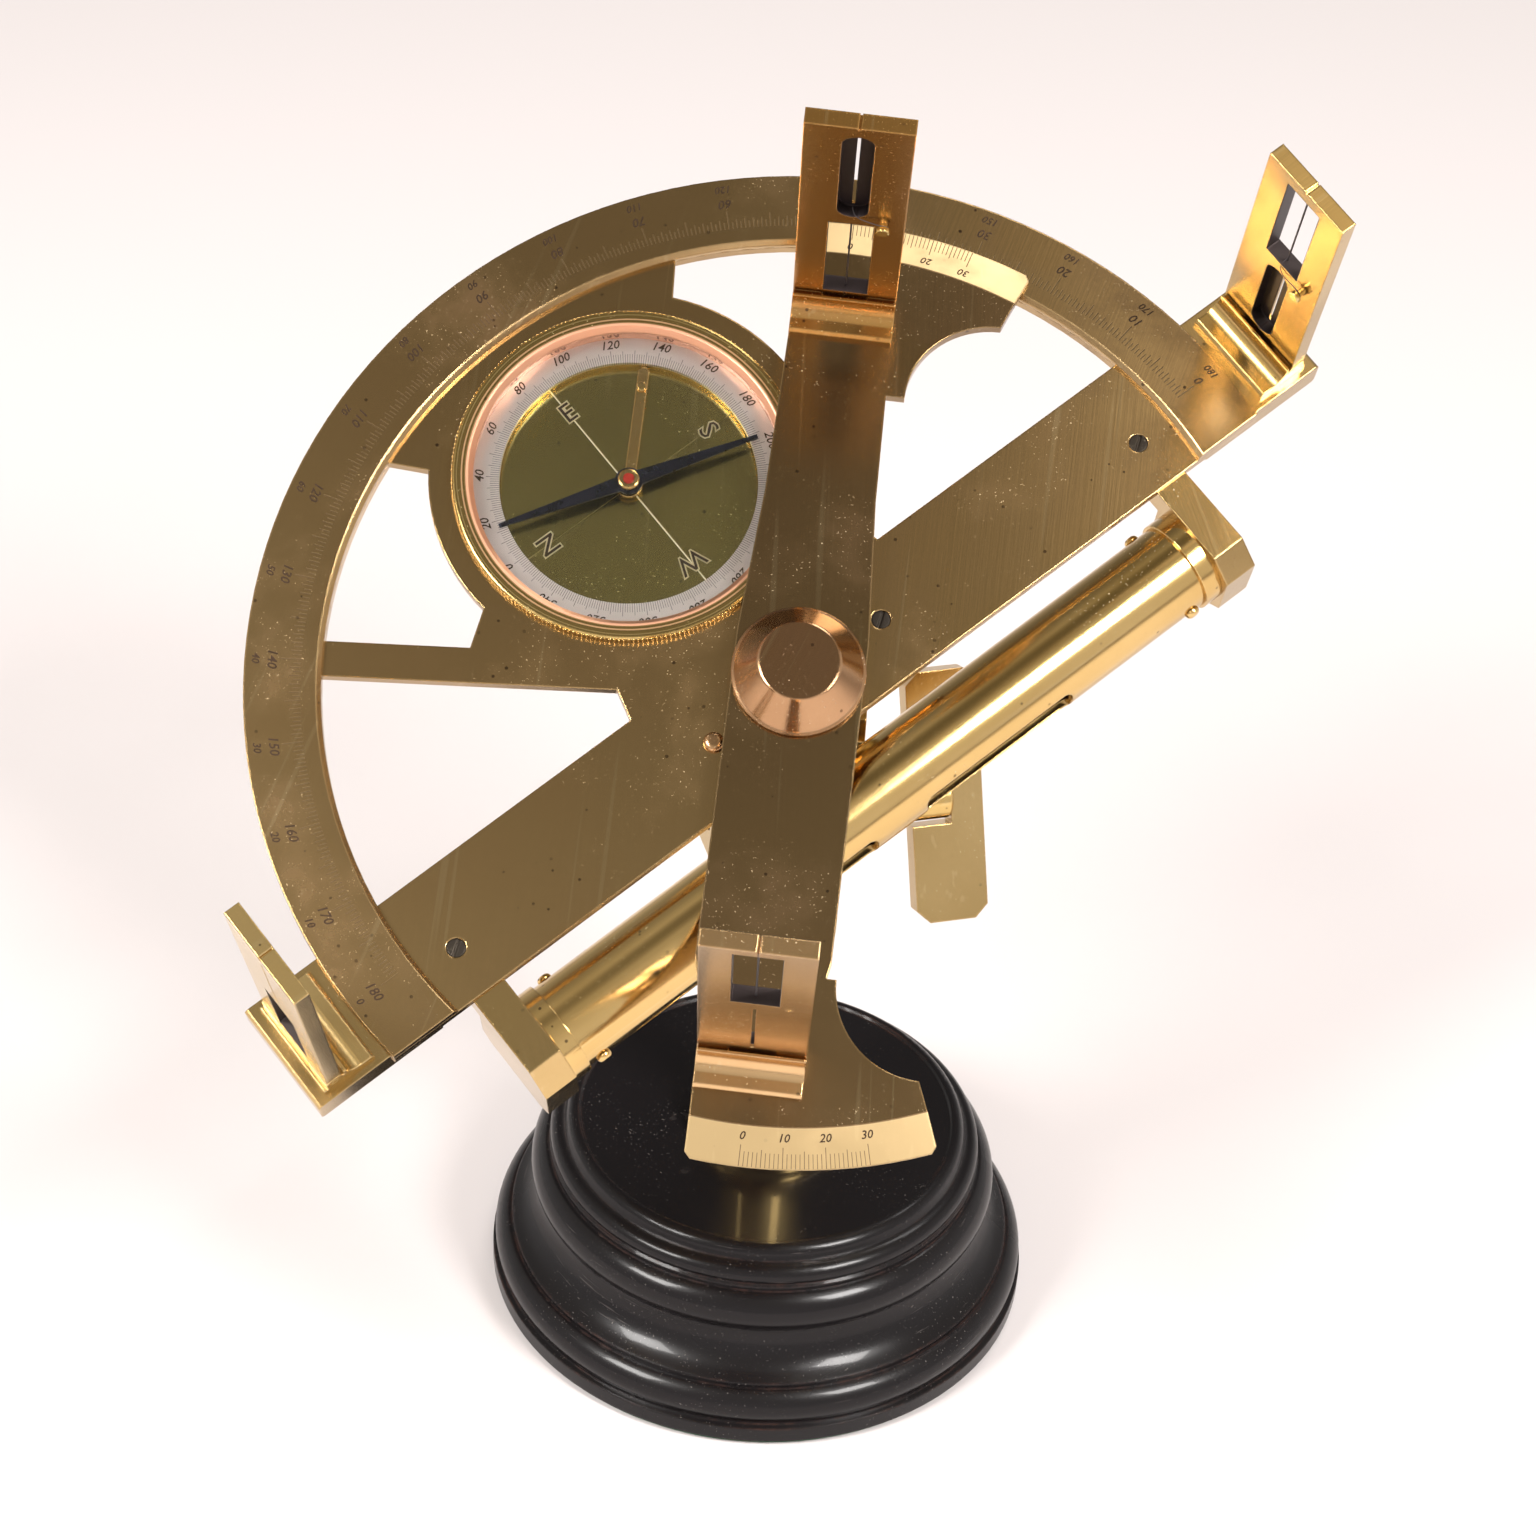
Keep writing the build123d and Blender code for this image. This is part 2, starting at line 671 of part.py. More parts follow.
with BuildPart() as spacer_ring:
    disc(compass, 0, 0, ring_top, glass_low, box_bore)
    with BuildSketch(compass.offset(ring_top)):
        Circle(box_bore - 1.5)
    extrude(amount=4, mode=Mode.SUBTRACT)
save(spacer_ring, "spacer_ring")

with BuildPart() as compass_glass:
    disc(compass, 0, 0, glass_low, frame_top, box_bore)
save(compass_glass, "compass_glass")

bezel_radius = 45.4
with BuildPart() as bezel:
    with BuildSketch(lengthwise(compass, 0, 0)):
        with BuildLine():
            b1 = Polyline((box_bore - 1.9, frame_top), (bezel_radius, frame_top), (bezel_radius, limb_top - 0.5))
            b2 = Polyline(b1 @ 1, (bezel_radius - 0.4, limb_top), (box_bore - 0.6, limb_top))
            b3 = Polyline(b2 @ 1, (box_bore - 1.9, limb_top - 1.6), b1 @ 0)
        make_face()
    revolve(axis=axis_at(compass, 0, 0))
save(bezel, "bezel")

post_top = -6.6
with BuildPart() as pivot_post:
    disc(compass, 0, 0, dial_top, post_top, 1.0)
    disc(compass, 0, 0, dial_top, dial_top + 0.7, 1.7)
save(pivot_post, "pivot_post")

needle_low = ring_top + 0.3
needle_top = needle_low + 0.7
with BuildPart() as needle:
    with BuildSketch(compass.offset(needle_low)):
        with Locations(Location((0, 0, 0), (0, 0, needle_angle))):
            Polygon(
                (-needle_half, 0.5),
                (-needle_half, -0.5),
                (0, -2.1),
                (needle_half, -0.5),
                (needle_half, 0.5),
                (0, 2.1),
                align=None,
            )
            Circle(3.6)
            Circle(2.0, mode=Mode.SUBTRACT)
    extrude(amount=needle_top - needle_low)
save(needle, "needle")

with BuildPart() as needle_cap:
    disc(compass, 0, 0, needle_low - 0.9, needle_top, 2.0)
    disc(compass, 0, 0, needle_top, -4.6, 2.9)
    chamfer(edges().filter_by(GeomType.CIRCLE).sort_by(Axis(origin=plate.origin, direction=normal))[-1], 0.4)
    with BuildSketch(compass.offset(needle_low - 1.0)):
        Circle(1.0 + fit)
    extrude(amount=post_top + 0.1 - needle_low + 1.0, mode=Mode.SUBTRACT)
save(needle_cap, "needle_cap")

with BuildPart() as needle_jewel:
    disc(compass, 0, 0, -4.6, -4.2, 1.5)
    fillet(edges().filter_by(GeomType.CIRCLE).sort_by(Axis(origin=plate.origin, direction=normal))[-1], 0.3)
save(needle_jewel, "needle_jewel")

lifter_low = dial_top + 0.9
lifter_screw_at = 27.5
with BuildPart() as lifter:
    with BuildSketch(compass.offset(lifter_low)):
        with Locations(Location((0, 0, 0), (0, 0, lifter_angle))):
            with Locations((17.5, 0)):
                Rectangle(30, 3)
            with Locations((32.4, 0)):
                Circle(1.0)
            Circle(3.6)
            Circle(1.8, mode=Mode.SUBTRACT)
            with Locations((lifter_screw_at, 0)):
                Circle(0.8, mode=Mode.SUBTRACT)
    extrude(amount=1.0)
save(lifter, "lifter")

with BuildPart() as lifter_screw:
    lift = radians(lifter_angle)
    lift_x = lifter_screw_at * cos(lift)
    lift_y = lifter_screw_at * sin(lift)
    disc(compass, lift_x, lift_y, dial_top, lifter_low, 1.4)
    disc(compass, lift_x, lift_y, lifter_low, lifter_low + 1.0, 0.8)
    disc(compass, lift_x, lift_y, lifter_low + 1.0, lifter_low + 1.8, 1.3)
save(lifter_screw, "lifter_screw")

# ---------------------------------------------------------------- alidade
tip_x = sqrt(vernier_outer**2 - alidade_half**2)
end_x = vernier_outer * cos(radians(vernier_end))
end_y = vernier_outer * sin(radians(vernier_end))
corner_cut = 1.5
with BuildPart() as alidade_bar:
    with BuildSketch(alidade.offset(alidade_low)):
        Polygon(
            (-tip_x, alidade_half),
            (-92, alidade_half),
            (-76, alidade_waist),
            (10, alidade_waist),
            (48, alidade_half + 0.9),
            (92, alidade_half),
            (tip_x, alidade_half),
            (tip_x, -alidade_half),
            (92, -alidade_half),
            (48, -alidade_half - 0.9),
            (10, -alidade_waist),
            (-74, -alidade_waist),
            (-92, -alidade_half),
            (-tip_x, -alidade_half),
            align=None,
        )
    extrude(amount=alidade_high - alidade_low)
    for side in (1, -1):
        with BuildSketch(alidade.offset(alidade_low)):
            with BuildLine():
                a1 = Line((side * scoop_x, -10), (side * scoop_x, scoop_y + scoop_radius))
                a2 = RadiusArc(a1 @ 1, (side * (scoop_x + scoop_radius), scoop_y), side * scoop_radius)
                a3 = Line(a2 @ 1, (side * end_x, -end_y))
                a4 = RadiusArc(a3 @ 1, (side * vernier_outer, 0), -side * vernier_outer)
                a5 = RadiusArc(a4 @ 1, (side * tip_x, alidade_half), -side * vernier_outer)
                a6 = Polyline(a5 @ 1, (side * scoop_x, alidade_half), a1 @ 0)
            make_face()
        extrude(amount=alidade_high - alidade_low)
        upright = edges().filter_by(Axis(origin=alidade.origin, direction=normal))
        plain_corner = upright.sort_by_distance(point(alidade, side * tip_x, alidade_half, alidade_high))[0]
        end_corner = upright.sort_by_distance(point(alidade, side * end_x, -end_y, alidade_high))[0]
        chamfer([plain_corner, end_corner], corner_cut)
    with BuildSketch(lengthwise(alidade, 0, 0)):
        Polygon(
            (vernier_inner, alidade_high),
            (vernier_outer + 2, alidade_high),
            (vernier_outer + 2, alidade_low),
            (vernier_outer, alidade_low + 0.5),
            align=None,
        )
    revolve(axis=axis_at(alidade, 0, 0), mode=Mode.SUBTRACT)
    with BuildSketch(alidade.offset(alidade_low)):
        Circle(stud_radius + fit)
    extrude(amount=5, mode=Mode.SUBTRACT)
save(alidade_bar, "alidade_bar")

# ---------------------------------------------------------------- sights
# Each entry: name, frame, place of the face beside the foot's cove, way the sight faces, level of
# its foot's underside, height, whether the window is below the slot, and whether the slot's wide
# side is on the coved side.
long_sight = 100.0
short_sight = 87.0
sights = (
    ("far", alidade, 101.5, 1, alidade_high, long_sight, True, True),
    ("near", alidade, -99.8, 1, alidade_high, long_sight, False, False),
    ("right", plate, end_sight_at, 1, end_top, short_sight, False, True),
    ("left", plate, -end_sight_at, -1, end_top, short_sight, True, True),
)


def sight_frame(frame, face, way, level_of_foot):
    """A frame on the foot's underside, x outward from the sight's coved side."""
    return Plane(origin=point(frame, face, 0, level_of_foot), x_dir=frame.x_dir * way, z_dir=frame.z_dir)


for name, frame, face, way, foot_level, height, window_below, coved_side in sights:
    stand = sight_frame(frame, face, way, foot_level)
    with BuildPart() as foot:
        with BuildSketch(lengthwise(stand, 0, 0).offset(-sight_half)):
            with BuildLine():
                f1 = Polyline((5.6, 0), (5.6, slab), (wall_inner, slab), (wall_inner, wall_top), (wall_outer, wall_top))
                f2 = RadiusArc(f1 @ 1, (-5.6, 2.4), 5.4)
                f3 = Polyline(f2 @ 1, (-8.6, 2.4), (-9.4, 1.6), (-9.4, 0), f1 @ 0)
            make_face()
        extrude(amount=2 * sight_half)
        for low, high in ((-sight_half, -tongue_half - gap), (tongue_half + gap, sight_half)):
            with BuildSketch(lengthwise(stand, 0, 0).offset(-high)):
                with Locations((pin_x, pin_level)):
                    Circle(barrel)
                with Locations((pin_x - 0.2, (slab + pin_level) / 2)):
                    Rectangle(2 * barrel - 0.4, pin_level - slab)
                with Locations((-0.3, (slab + pin_level) / 2)):
                    Rectangle(1.2, pin_level - slab)
            extrude(amount=high - low)
        with BuildSketch(lengthwise(stand, 0, 0).offset(-sight_half)):
            with Locations((pin_x, pin_level)):
                Circle(sight_pin)
        extrude(amount=2 * sight_half, mode=Mode.SUBTRACT)
    save(foot, "foot_" + name)

    if window_below:
        window_low = 9.5
        window_high = height / 2 - 0.8
        slot_low = height / 2 + 3.2
        slot_high = height - 4.5
    else:
        slot_low = 9.0
        slot_high = height / 2 - 0.5
        window_low = height / 2 + 3.6
        window_high = height - 4.0
    with BuildPart() as sight:
        with BuildSketch(across(stand, 0)):
            with Locations((0, (sight_start + height) / 2)):
                Rectangle(2 * sight_half, height - sight_start)
        extrude(amount=sight_thickness)
        with BuildSketch(lengthwise(stand, 0, 0).offset(-tongue_half)):
            with Locations((pin_x, pin_level)):
                Circle(barrel)
            with Locations((pin_x, (pin_level + sight_start) / 2)):
                Rectangle(sight_thickness, sight_start - pin_level)
        extrude(amount=2 * tongue_half)
        with BuildSketch(lengthwise(stand, 0, 0).offset(-tongue_half)):
            with Locations((pin_x, pin_level)):
                Circle(sight_pin + fit)
        extrude(amount=2 * tongue_half, mode=Mode.SUBTRACT)
        with BuildSketch(across(stand, 0)):
            with Locations((0, (window_low + window_high) / 2)):
                Rectangle(2 * window_half, window_high - window_low)
            with Locations((0, (slot_low + slot_high) / 2)):
                Rectangle(2 * slit_half, slot_high - slot_low - 2)
        extrude(amount=sight_thickness, mode=Mode.SUBTRACT)
        with BuildSketch(across(stand, 0 if coved_side else web)):
            with Locations(Location((0, (slot_low + slot_high) / 2, 0), (0, 0, 90))):
                SlotOverall(slot_high - slot_low, 2 * slot_half)
        extrude(amount=sight_thickness - web, mode=Mode.SUBTRACT)
        with BuildSketch(across(stand, 0)):
            with Locations((0, height)):
                Rectangle(2 * notch_half, 2 * sight_notch)
            with Locations((peg_at, height / 2 + peg_rise)):
                Circle(peg_radius)
        extrude(amount=sight_thickness, mode=Mode.SUBTRACT)
    save(sight, "sight_" + name)

    with BuildPart() as hair:
        with BuildSketch(stand.offset(window_low)):
            with Locations((pin_x, 0)):
                Circle(hair_radius)
        extrude(amount=window_high - window_low)
    save(hair, "hair_" + name)

    peg_face = 0 if coved_side else sight_thickness
    peg_way = -1 if coved_side else 1
    with BuildPart() as peg:
        with BuildSketch(across(stand, 0)):
            with Locations((peg_at, height / 2 + peg_rise)):
                Circle(peg_radius)
        extrude(amount=sight_thickness)
        with BuildSketch(across(stand, peg_face)):
            with Locations((peg_at, height / 2 + peg_rise)):
                Circle(0.9)
        extrude(amount=1.4 * peg_way)
        with BuildSketch(across(stand, peg_face + 1.4 * peg_way)):
            with Locations((peg_at, height / 2 + peg_rise)):
                Circle(1.6)
        extrude(amount=1.2 * peg_way)
    save(peg, "peg_" + name)

for owner, owner_frame in (("alidade", alidade), ("bar", plate)):
    with BuildPart() as hinge_pins:
        for name, frame, face, way, foot_level, height, window_below, coved_side in sights:
            if frame is owner_frame:
                stand = sight_frame(frame, face, way, foot_level)
                with BuildSketch(lengthwise(stand, 0, 0).offset(-sight_half)):
                    with Locations((pin_x, pin_level)):
                        Circle(sight_pin)
                extrude(amount=2 * sight_half)
    save(hinge_pins, "hinge_pins_" + owner)
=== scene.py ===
import bpy
import bmesh
from math import sin, cos, radians, pi
from mathutils import Vector, Matrix


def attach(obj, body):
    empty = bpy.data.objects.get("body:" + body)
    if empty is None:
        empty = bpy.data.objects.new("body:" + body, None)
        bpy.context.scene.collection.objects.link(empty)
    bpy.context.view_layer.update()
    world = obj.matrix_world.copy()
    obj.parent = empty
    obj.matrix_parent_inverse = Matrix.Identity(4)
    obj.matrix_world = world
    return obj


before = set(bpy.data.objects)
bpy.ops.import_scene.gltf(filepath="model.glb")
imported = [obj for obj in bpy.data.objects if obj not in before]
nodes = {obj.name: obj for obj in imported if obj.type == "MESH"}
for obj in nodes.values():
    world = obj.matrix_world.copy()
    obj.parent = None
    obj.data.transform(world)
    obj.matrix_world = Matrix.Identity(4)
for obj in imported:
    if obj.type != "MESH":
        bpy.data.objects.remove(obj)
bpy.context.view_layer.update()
print("frame loaded:", len(nodes), "parts")

mm = 0.001

# degrees between two lines of a vernier
vernierStep = 14.6 / 30

# how the instrument stands, in degrees and metres
stance = {
    "tilt": 36.33, "turn": 41.95, "alidade": 45.1, "jointHeight": 0.1913, "reach": 0.034,
    "compassAt": 0.0705,
}


# ---------------------------------------------------------------- places on the instrument
def instrumentFrame(turn, x=0.0, y=0.0, z=0.0):
    tilt = radians(stance["tilt"])
    normal = Vector((0, -sin(tilt), cos(tilt)))
    uphill = Vector((0, cos(tilt), sin(tilt)))
    along = Vector((1, 0, 0)) * cos(radians(turn)) + uphill * sin(radians(turn))
    across = normal.cross(along)
    pivot = Vector((0, 0, stance["jointHeight"])) + normal * stance["reach"]
    place = Matrix((along, across, normal)).transposed().to_4x4()
    place.translation = pivot + along * x + across * y + normal * z
    return place


plateFrame = instrumentFrame(stance["turn"])
compassFrame = instrumentFrame(stance["turn"], 0, stance["compassAt"])
alidadeFrame = instrumentFrame(stance["turn"] + stance["alidade"])

# each sight measured from the underside of its foot: x outward, z its height
sights = {
    "far": {
        "place": instrumentFrame(stance["turn"] + stance["alidade"], 101.5 * mm, 0, 3.5 * mm),
        "height": 100, "windowBelow": True, "coved": True,
    },
    "near": {
        "place": instrumentFrame(stance["turn"] + stance["alidade"], -99.8 * mm, 0, 3.5 * mm),
        "height": 100, "windowBelow": False, "coved": False,
    },
    "right": {
        "place": instrumentFrame(stance["turn"], 152 * mm, 0, -1 * mm), "height": 87, "windowBelow": False,
        "coved": True,
    },
    "left": {
        "place": instrumentFrame(stance["turn"] + 180, 152 * mm, 0, -1 * mm), "height": 87,
        "windowBelow": True, "coved": True,
    },
}


# ---------------------------------------------------------------- camera, light and floor
def makeCamera():
    settings = {
        "place": (-0.00475, -0.8039, 0.7620),
        "right": (0.99759, 0.04083, 0.05607),
        "up": (-0.06935, 0.58724, 0.80644),
        "lens": 88.34,
        "shiftX": -0.0035,
        "shiftY": -0.0028,
    }
    right = Vector(settings["right"]).normalized()
    up = Vector(settings["up"])
    up = (up - right * up.dot(right)).normalized()
    turn = Matrix((right, up, right.cross(up))).transposed().to_4x4()
    turn.translation = Vector(settings["place"])
    data = bpy.data.cameras.new("viewCamera")
    data.lens = settings["lens"]
    data.sensor_width = 36
    data.clip_start = 0.01
    data.dof.use_dof = False
    data.shift_x = settings["shiftX"]
    data.shift_y = settings["shiftY"]
    camera = bpy.data.objects.new("viewCamera", data)
    camera.matrix_world = turn
    bpy.context.scene.collection.objects.link(camera)
    bpy.context.scene.camera = camera


def makeLights():
    target = Vector((0, 0, 0.16))
    lamps = [
        {
            "name": "softboxLeft", "azimuth": -52, "height": 40, "distance": 1.7, "size": 0.55, "power": 34,
            "colour": (1.0, 0.975, 0.95),
        },
        {
            "name": "softboxRight", "azimuth": 48, "height": 44, "distance": 1.7, "size": 0.5, "power": 34,
            "colour": (1.0, 0.97, 0.95),
        },
        {
            "name": "softboxBack", "azimuth": 150, "height": 62, "distance": 2.2, "size": 0.8, "power": 16,
            "colour": (1.0, 0.98, 0.97),
        },
    ]
    for lamp in lamps:
        data = bpy.data.lights.new(lamp["name"], "AREA")
        data.size = lamp["size"]
        data.energy = lamp["power"]
        data.color = lamp["colour"]
        light = bpy.data.objects.new(lamp["name"], data)
        azimuth, height = radians(lamp["azimuth"]), radians(lamp["height"])
        aim = Vector((sin(azimuth) * cos(height), -cos(azimuth) * cos(height), sin(height)))
        light.location = target + aim * lamp["distance"]
        light.rotation_euler = aim.to_track_quat("Z", "Y").to_euler()
        bpy.context.scene.collection.objects.link(light)


def makeRoom():
    # a pale room with a dark wall at the back, a dark patch overhead, which flat brass shows as brown,
    # and a bright patch beside that one
    patches = {
        "dark": {
            "toward": (0.03, -0.13, 0.99), "from": 0.925, "to": 0.998, "shade": (0.16, 0.14, 0.11, 1),
            "strength": 1.0,
        },
        "bright": {
            "toward": (0.215, -0.20, 0.955), "from": 0.988, "to": 0.997, "shade": (1.3, 1.15, 0.95, 1),
            "strength": 1.0,
        },
        "back": {
            "toward": (0.0, 0.80, 0.60), "from": 0.55, "to": 0.95, "shade": (0.10, 0.095, 0.09, 1),
            "strength": 0.9,
        },
    }
    world = bpy.data.worlds.new("paleRoom")
    bpy.context.scene.world = world
    world.use_nodes = True
    tree = world.node_tree
    tree.nodes.clear()
    where = add(tree, "ShaderNodeTexCoord").outputs["Generated"]
    height = add(tree, "ShaderNodeSeparateXYZ", {"Vector": where}).outputs["Z"]
    ramp = add(tree, "ShaderNodeValToRGB", {"Fac": height})
    stops = ramp.color_ramp.elements
    stops[0].color = (0.90, 0.86, 0.84, 1)
    stops[1].color = (0.52, 0.48, 0.40, 1)
    for position, shade in (
        (0.35, (0.84, 0.80, 0.77, 1)), (0.62, (0.62, 0.58, 0.52, 1)), (0.85, (0.50, 0.465, 0.40, 1)),
    ):
        stops.new(position).color = shade
    colour = ramp.outputs[0]
    for patch in ("back", "dark", "bright"):
        look = patches[patch]
        facing = add(tree, "ShaderNodeVectorMath", operation="DOT_PRODUCT")
        feed(tree, facing.inputs[0], where)
        facing.inputs[1].default_value = Vector(look["toward"]).normalized()
        amount = fade(tree, facing.outputs["Value"], look["from"], look["to"], 0.0, look["strength"])
        colour = mixColour(tree, amount, colour, look["shade"])
    sky = add(tree, "ShaderNodeBackground", {"Color": colour, "Strength": 1.0})
    out = add(tree, "ShaderNodeOutputWorld")
    tree.links.new(sky.outputs[0], out.inputs["Surface"])
    bpy.context.scene.view_settings.view_transform = "Standard"


# ---------------------------------------------------------------- shader helpers
def feed(tree, socket, value):
    if isinstance(value, bpy.types.NodeSocket):
        tree.links.new(value, socket)
    else:
        socket.default_value = value


def add(tree, kind, inputs=None, **settings):
    node = tree.nodes.new(kind)
    for key, value in settings.items():
        setattr(node, key, value)
    for name, value in (inputs or {}).items():
        feed(tree, node.inputs[name], value)
    return node


def calc(tree, operation, a, b=None, c=None, clamp=False):
    node = tree.nodes.new("ShaderNodeMath")
    node.operation = operation
    node.use_clamp = clamp
    for index, value in enumerate((a, b, c)):
        if value is not None:
            feed(tree, node.inputs[index], value)
    return node.outputs[0]


def times(tree, a, b, clamp=False):
    return calc(tree, "MULTIPLY", a, b, clamp=clamp)


def plus(tree, a, b):
    return calc(tree, "ADD", a, b)


def minus(tree, a, b, clamp=False):
    return calc(tree, "SUBTRACT", a, b, clamp=clamp)


def lengthOf(tree, x, y):
    return calc(tree, "SQRT", plus(tree, times(tree, x, x), times(tree, y, y)))


def fade(tree, value, low, high, start=0.0, end=1.0):
    node = add(tree, "ShaderNodeMapRange", interpolation_type="SMOOTHSTEP", clamp=True)
    for index, entry in enumerate((value, low, high, start, end)):
        feed(tree, node.inputs[index], entry)
    return node.outputs[0]


def mixColour(tree, factor, first, second, blend="MIX"):
    node = add(tree, "ShaderNodeMix", data_type="RGBA", blend_type=blend, clamp_factor=True)
    feed(tree, node.inputs[0], factor)
    feed(tree, node.inputs[6], first)
    feed(tree, node.inputs[7], second)
    return node.outputs[2]


def shaded(colour, factor):
    return tuple(min(1.0, part * factor) for part in colour[:3]) + (1,)


def addBump(tree, shader, height, strength, distance, normal=None):
    node = add(tree, "ShaderNodeBump", {"Height": height, "Strength": strength, "Distance": distance})
    if normal is not None:
        feed(tree, node.inputs["Normal"], normal)
    feed(tree, shader.inputs["Normal"], node.outputs[0])


def newGroup(name, inputs, outputs):
    group = bpy.data.node_groups.new(name, "ShaderNodeTree")
    for label, kind, value in inputs:
        socket = group.interface.new_socket(label, in_out="INPUT", socket_type=kind)
        if value is not None:
            socket.default_value = value
    for label, kind in outputs:
        group.interface.new_socket(label, in_out="OUTPUT", socket_type=kind)
    return group, group.nodes.new("NodeGroupInput").outputs, group.nodes.new("NodeGroupOutput").inputs


def use(tree, group, **values):
    node = tree.nodes.new("ShaderNodeGroup")
    node.node_tree = group
    for name, value in values.items():
        feed(tree, node.inputs[name], value)
    return node.outputs


makeCamera()
makeLights()
makeRoom()
print("camera and lights done")


def makeTarnish():
    # clouds, stains, specks and dust of old lacquered brass, all between 0 and 1
    group, given, result = newGroup(
        "tarnish",
        [
            ("Vector", "NodeSocketVector", None), ("Seed", "NodeSocketFloat", 0.0),
            ("Stain", "NodeSocketFloat", 0.5),
        ],
        [
            ("Clouds", "NodeSocketFloat"), ("Stains", "NodeSocketFloat"), ("Specks", "NodeSocketFloat"),
            ("Dust", "NodeSocketFloat"), ("Height", "NodeSocketFloat"),
        ],
    )
    shifted = add(group, "ShaderNodeVectorMath", operation="ADD")
    seedVector = add(
        group, "ShaderNodeCombineXYZ", {"X": given["Seed"], "Y": times(group, given["Seed"], 0.37)},
    )
    feed(group, shifted.inputs[0], given["Vector"])
    feed(group, shifted.inputs[1], seedVector.outputs[0])
    where = shifted.outputs[0]

    def noise(scale, detail, rough, distortion=0.0):
        return add(
            group, "ShaderNodeTexNoise",
            {
                "Vector": where, "Scale": scale, "Detail": detail, "Roughness": rough,
                "Distortion": distortion,
            },
        ).outputs["Fac"]

    clouds = noise(14, 5, 0.55, 0.2)
    blots = noise(26, 8, 0.62, 0.25)
    fine = noise(420, 4, 0.7)
    coarse = noise(120, 5, 0.65)
    low = minus(group, 0.72, times(group, given["Stain"], 0.32))
    edge = fade(group, blots, low, plus(group, low, 0.24))
    stains = times(group, edge, fade(group, coarse, 0.30, 0.66, 0.45, 1.0), clamp=True)
    cells = add(
        group, "ShaderNodeTexVoronoi", {"Vector": where, "Scale": 260.0, "Randomness": 1.0}, feature="F1",
    )
    dots = calc(group, "LESS_THAN", cells.outputs["Distance"], 0.12)
    cellRed = add(group, "ShaderNodeSeparateColor", {"Color": cells.outputs["Color"]}).outputs[0]
    rare = calc(group, "GREATER_THAN", cellRed, 0.72)
    specks = times(group, times(group, dots, rare), fade(group, coarse, 0.38, 0.6))
    dust = times(group, fade(group, noise(1500, 2, 0.6), 0.66, 0.74), fade(group, blots, 0.42, 0.66))
    feed(group, result["Clouds"], fade(group, clouds, 0.28, 0.72))
    feed(group, result["Stains"], stains)
    feed(group, result["Specks"], specks)
    feed(group, result["Dust"], dust)
    feed(group, result["Height"], fine)
    return group


def makeScratches():
    # fine straight grain left by the file and emery, along the vector's x
    group, given, result = newGroup(
        "brushGrain",
        [
            ("Vector", "NodeSocketVector", None), ("Across", "NodeSocketFloat", 1400.0),
            ("Along", "NodeSocketFloat", 26.0),
        ],
        [("Grain", "NodeSocketFloat"), ("Hairlines", "NodeSocketFloat")],
    )
    stretch = add(
        group, "ShaderNodeCombineXYZ", {"X": given["Along"], "Y": given["Across"], "Z": given["Across"]},
    )
    scaled = add(group, "ShaderNodeVectorMath", operation="MULTIPLY")
    feed(group, scaled.inputs[0], given["Vector"])
    feed(group, scaled.inputs[1], stretch.outputs[0])
    grain = add(
        group, "ShaderNodeTexNoise",
        {"Vector": scaled.outputs[0], "Scale": 1.0, "Detail": 4.0, "Roughness": 0.65},
    ).outputs["Fac"]
    lines = add(
        group, "ShaderNodeTexNoise",
        {"Vector": scaled.outputs[0], "Scale": 0.31, "Detail": 1.0, "Distortion": 0.25},
    ).outputs["Fac"]
    feed(group, result["Grain"], grain)
    feed(group, result["Hairlines"], fade(group, lines, 0.66, 0.74))
    return group


def makeWornEdge():
    # 1 on sharp edges, 0 on flat faces
    group, given, result = newGroup(
        "wornEdge",
        [("Radius", "NodeSocketFloat", 0.0006), ("Breakup", "NodeSocketFloat", 0.5)],
        [("Edge", "NodeSocketFloat"), ("Soft Normal", "NodeSocketVector")],
    )
    bevel = add(group, "ShaderNodeBevel", {"Radius": given["Radius"]}, samples=4)
    surface = add(group, "ShaderNodeNewGeometry")
    facing = add(group, "ShaderNodeVectorMath", operation="DOT_PRODUCT")
    feed(group, facing.inputs[0], bevel.outputs[0])
    feed(group, facing.inputs[1], surface.outputs["Normal"])
    turnOff = minus(group, 1.0, facing.outputs["Value"])
    feed(group, result["Edge"], fade(group, turnOff, 0.01, 0.16))
    feed(group, result["Soft Normal"], bevel.outputs[0])
    return group


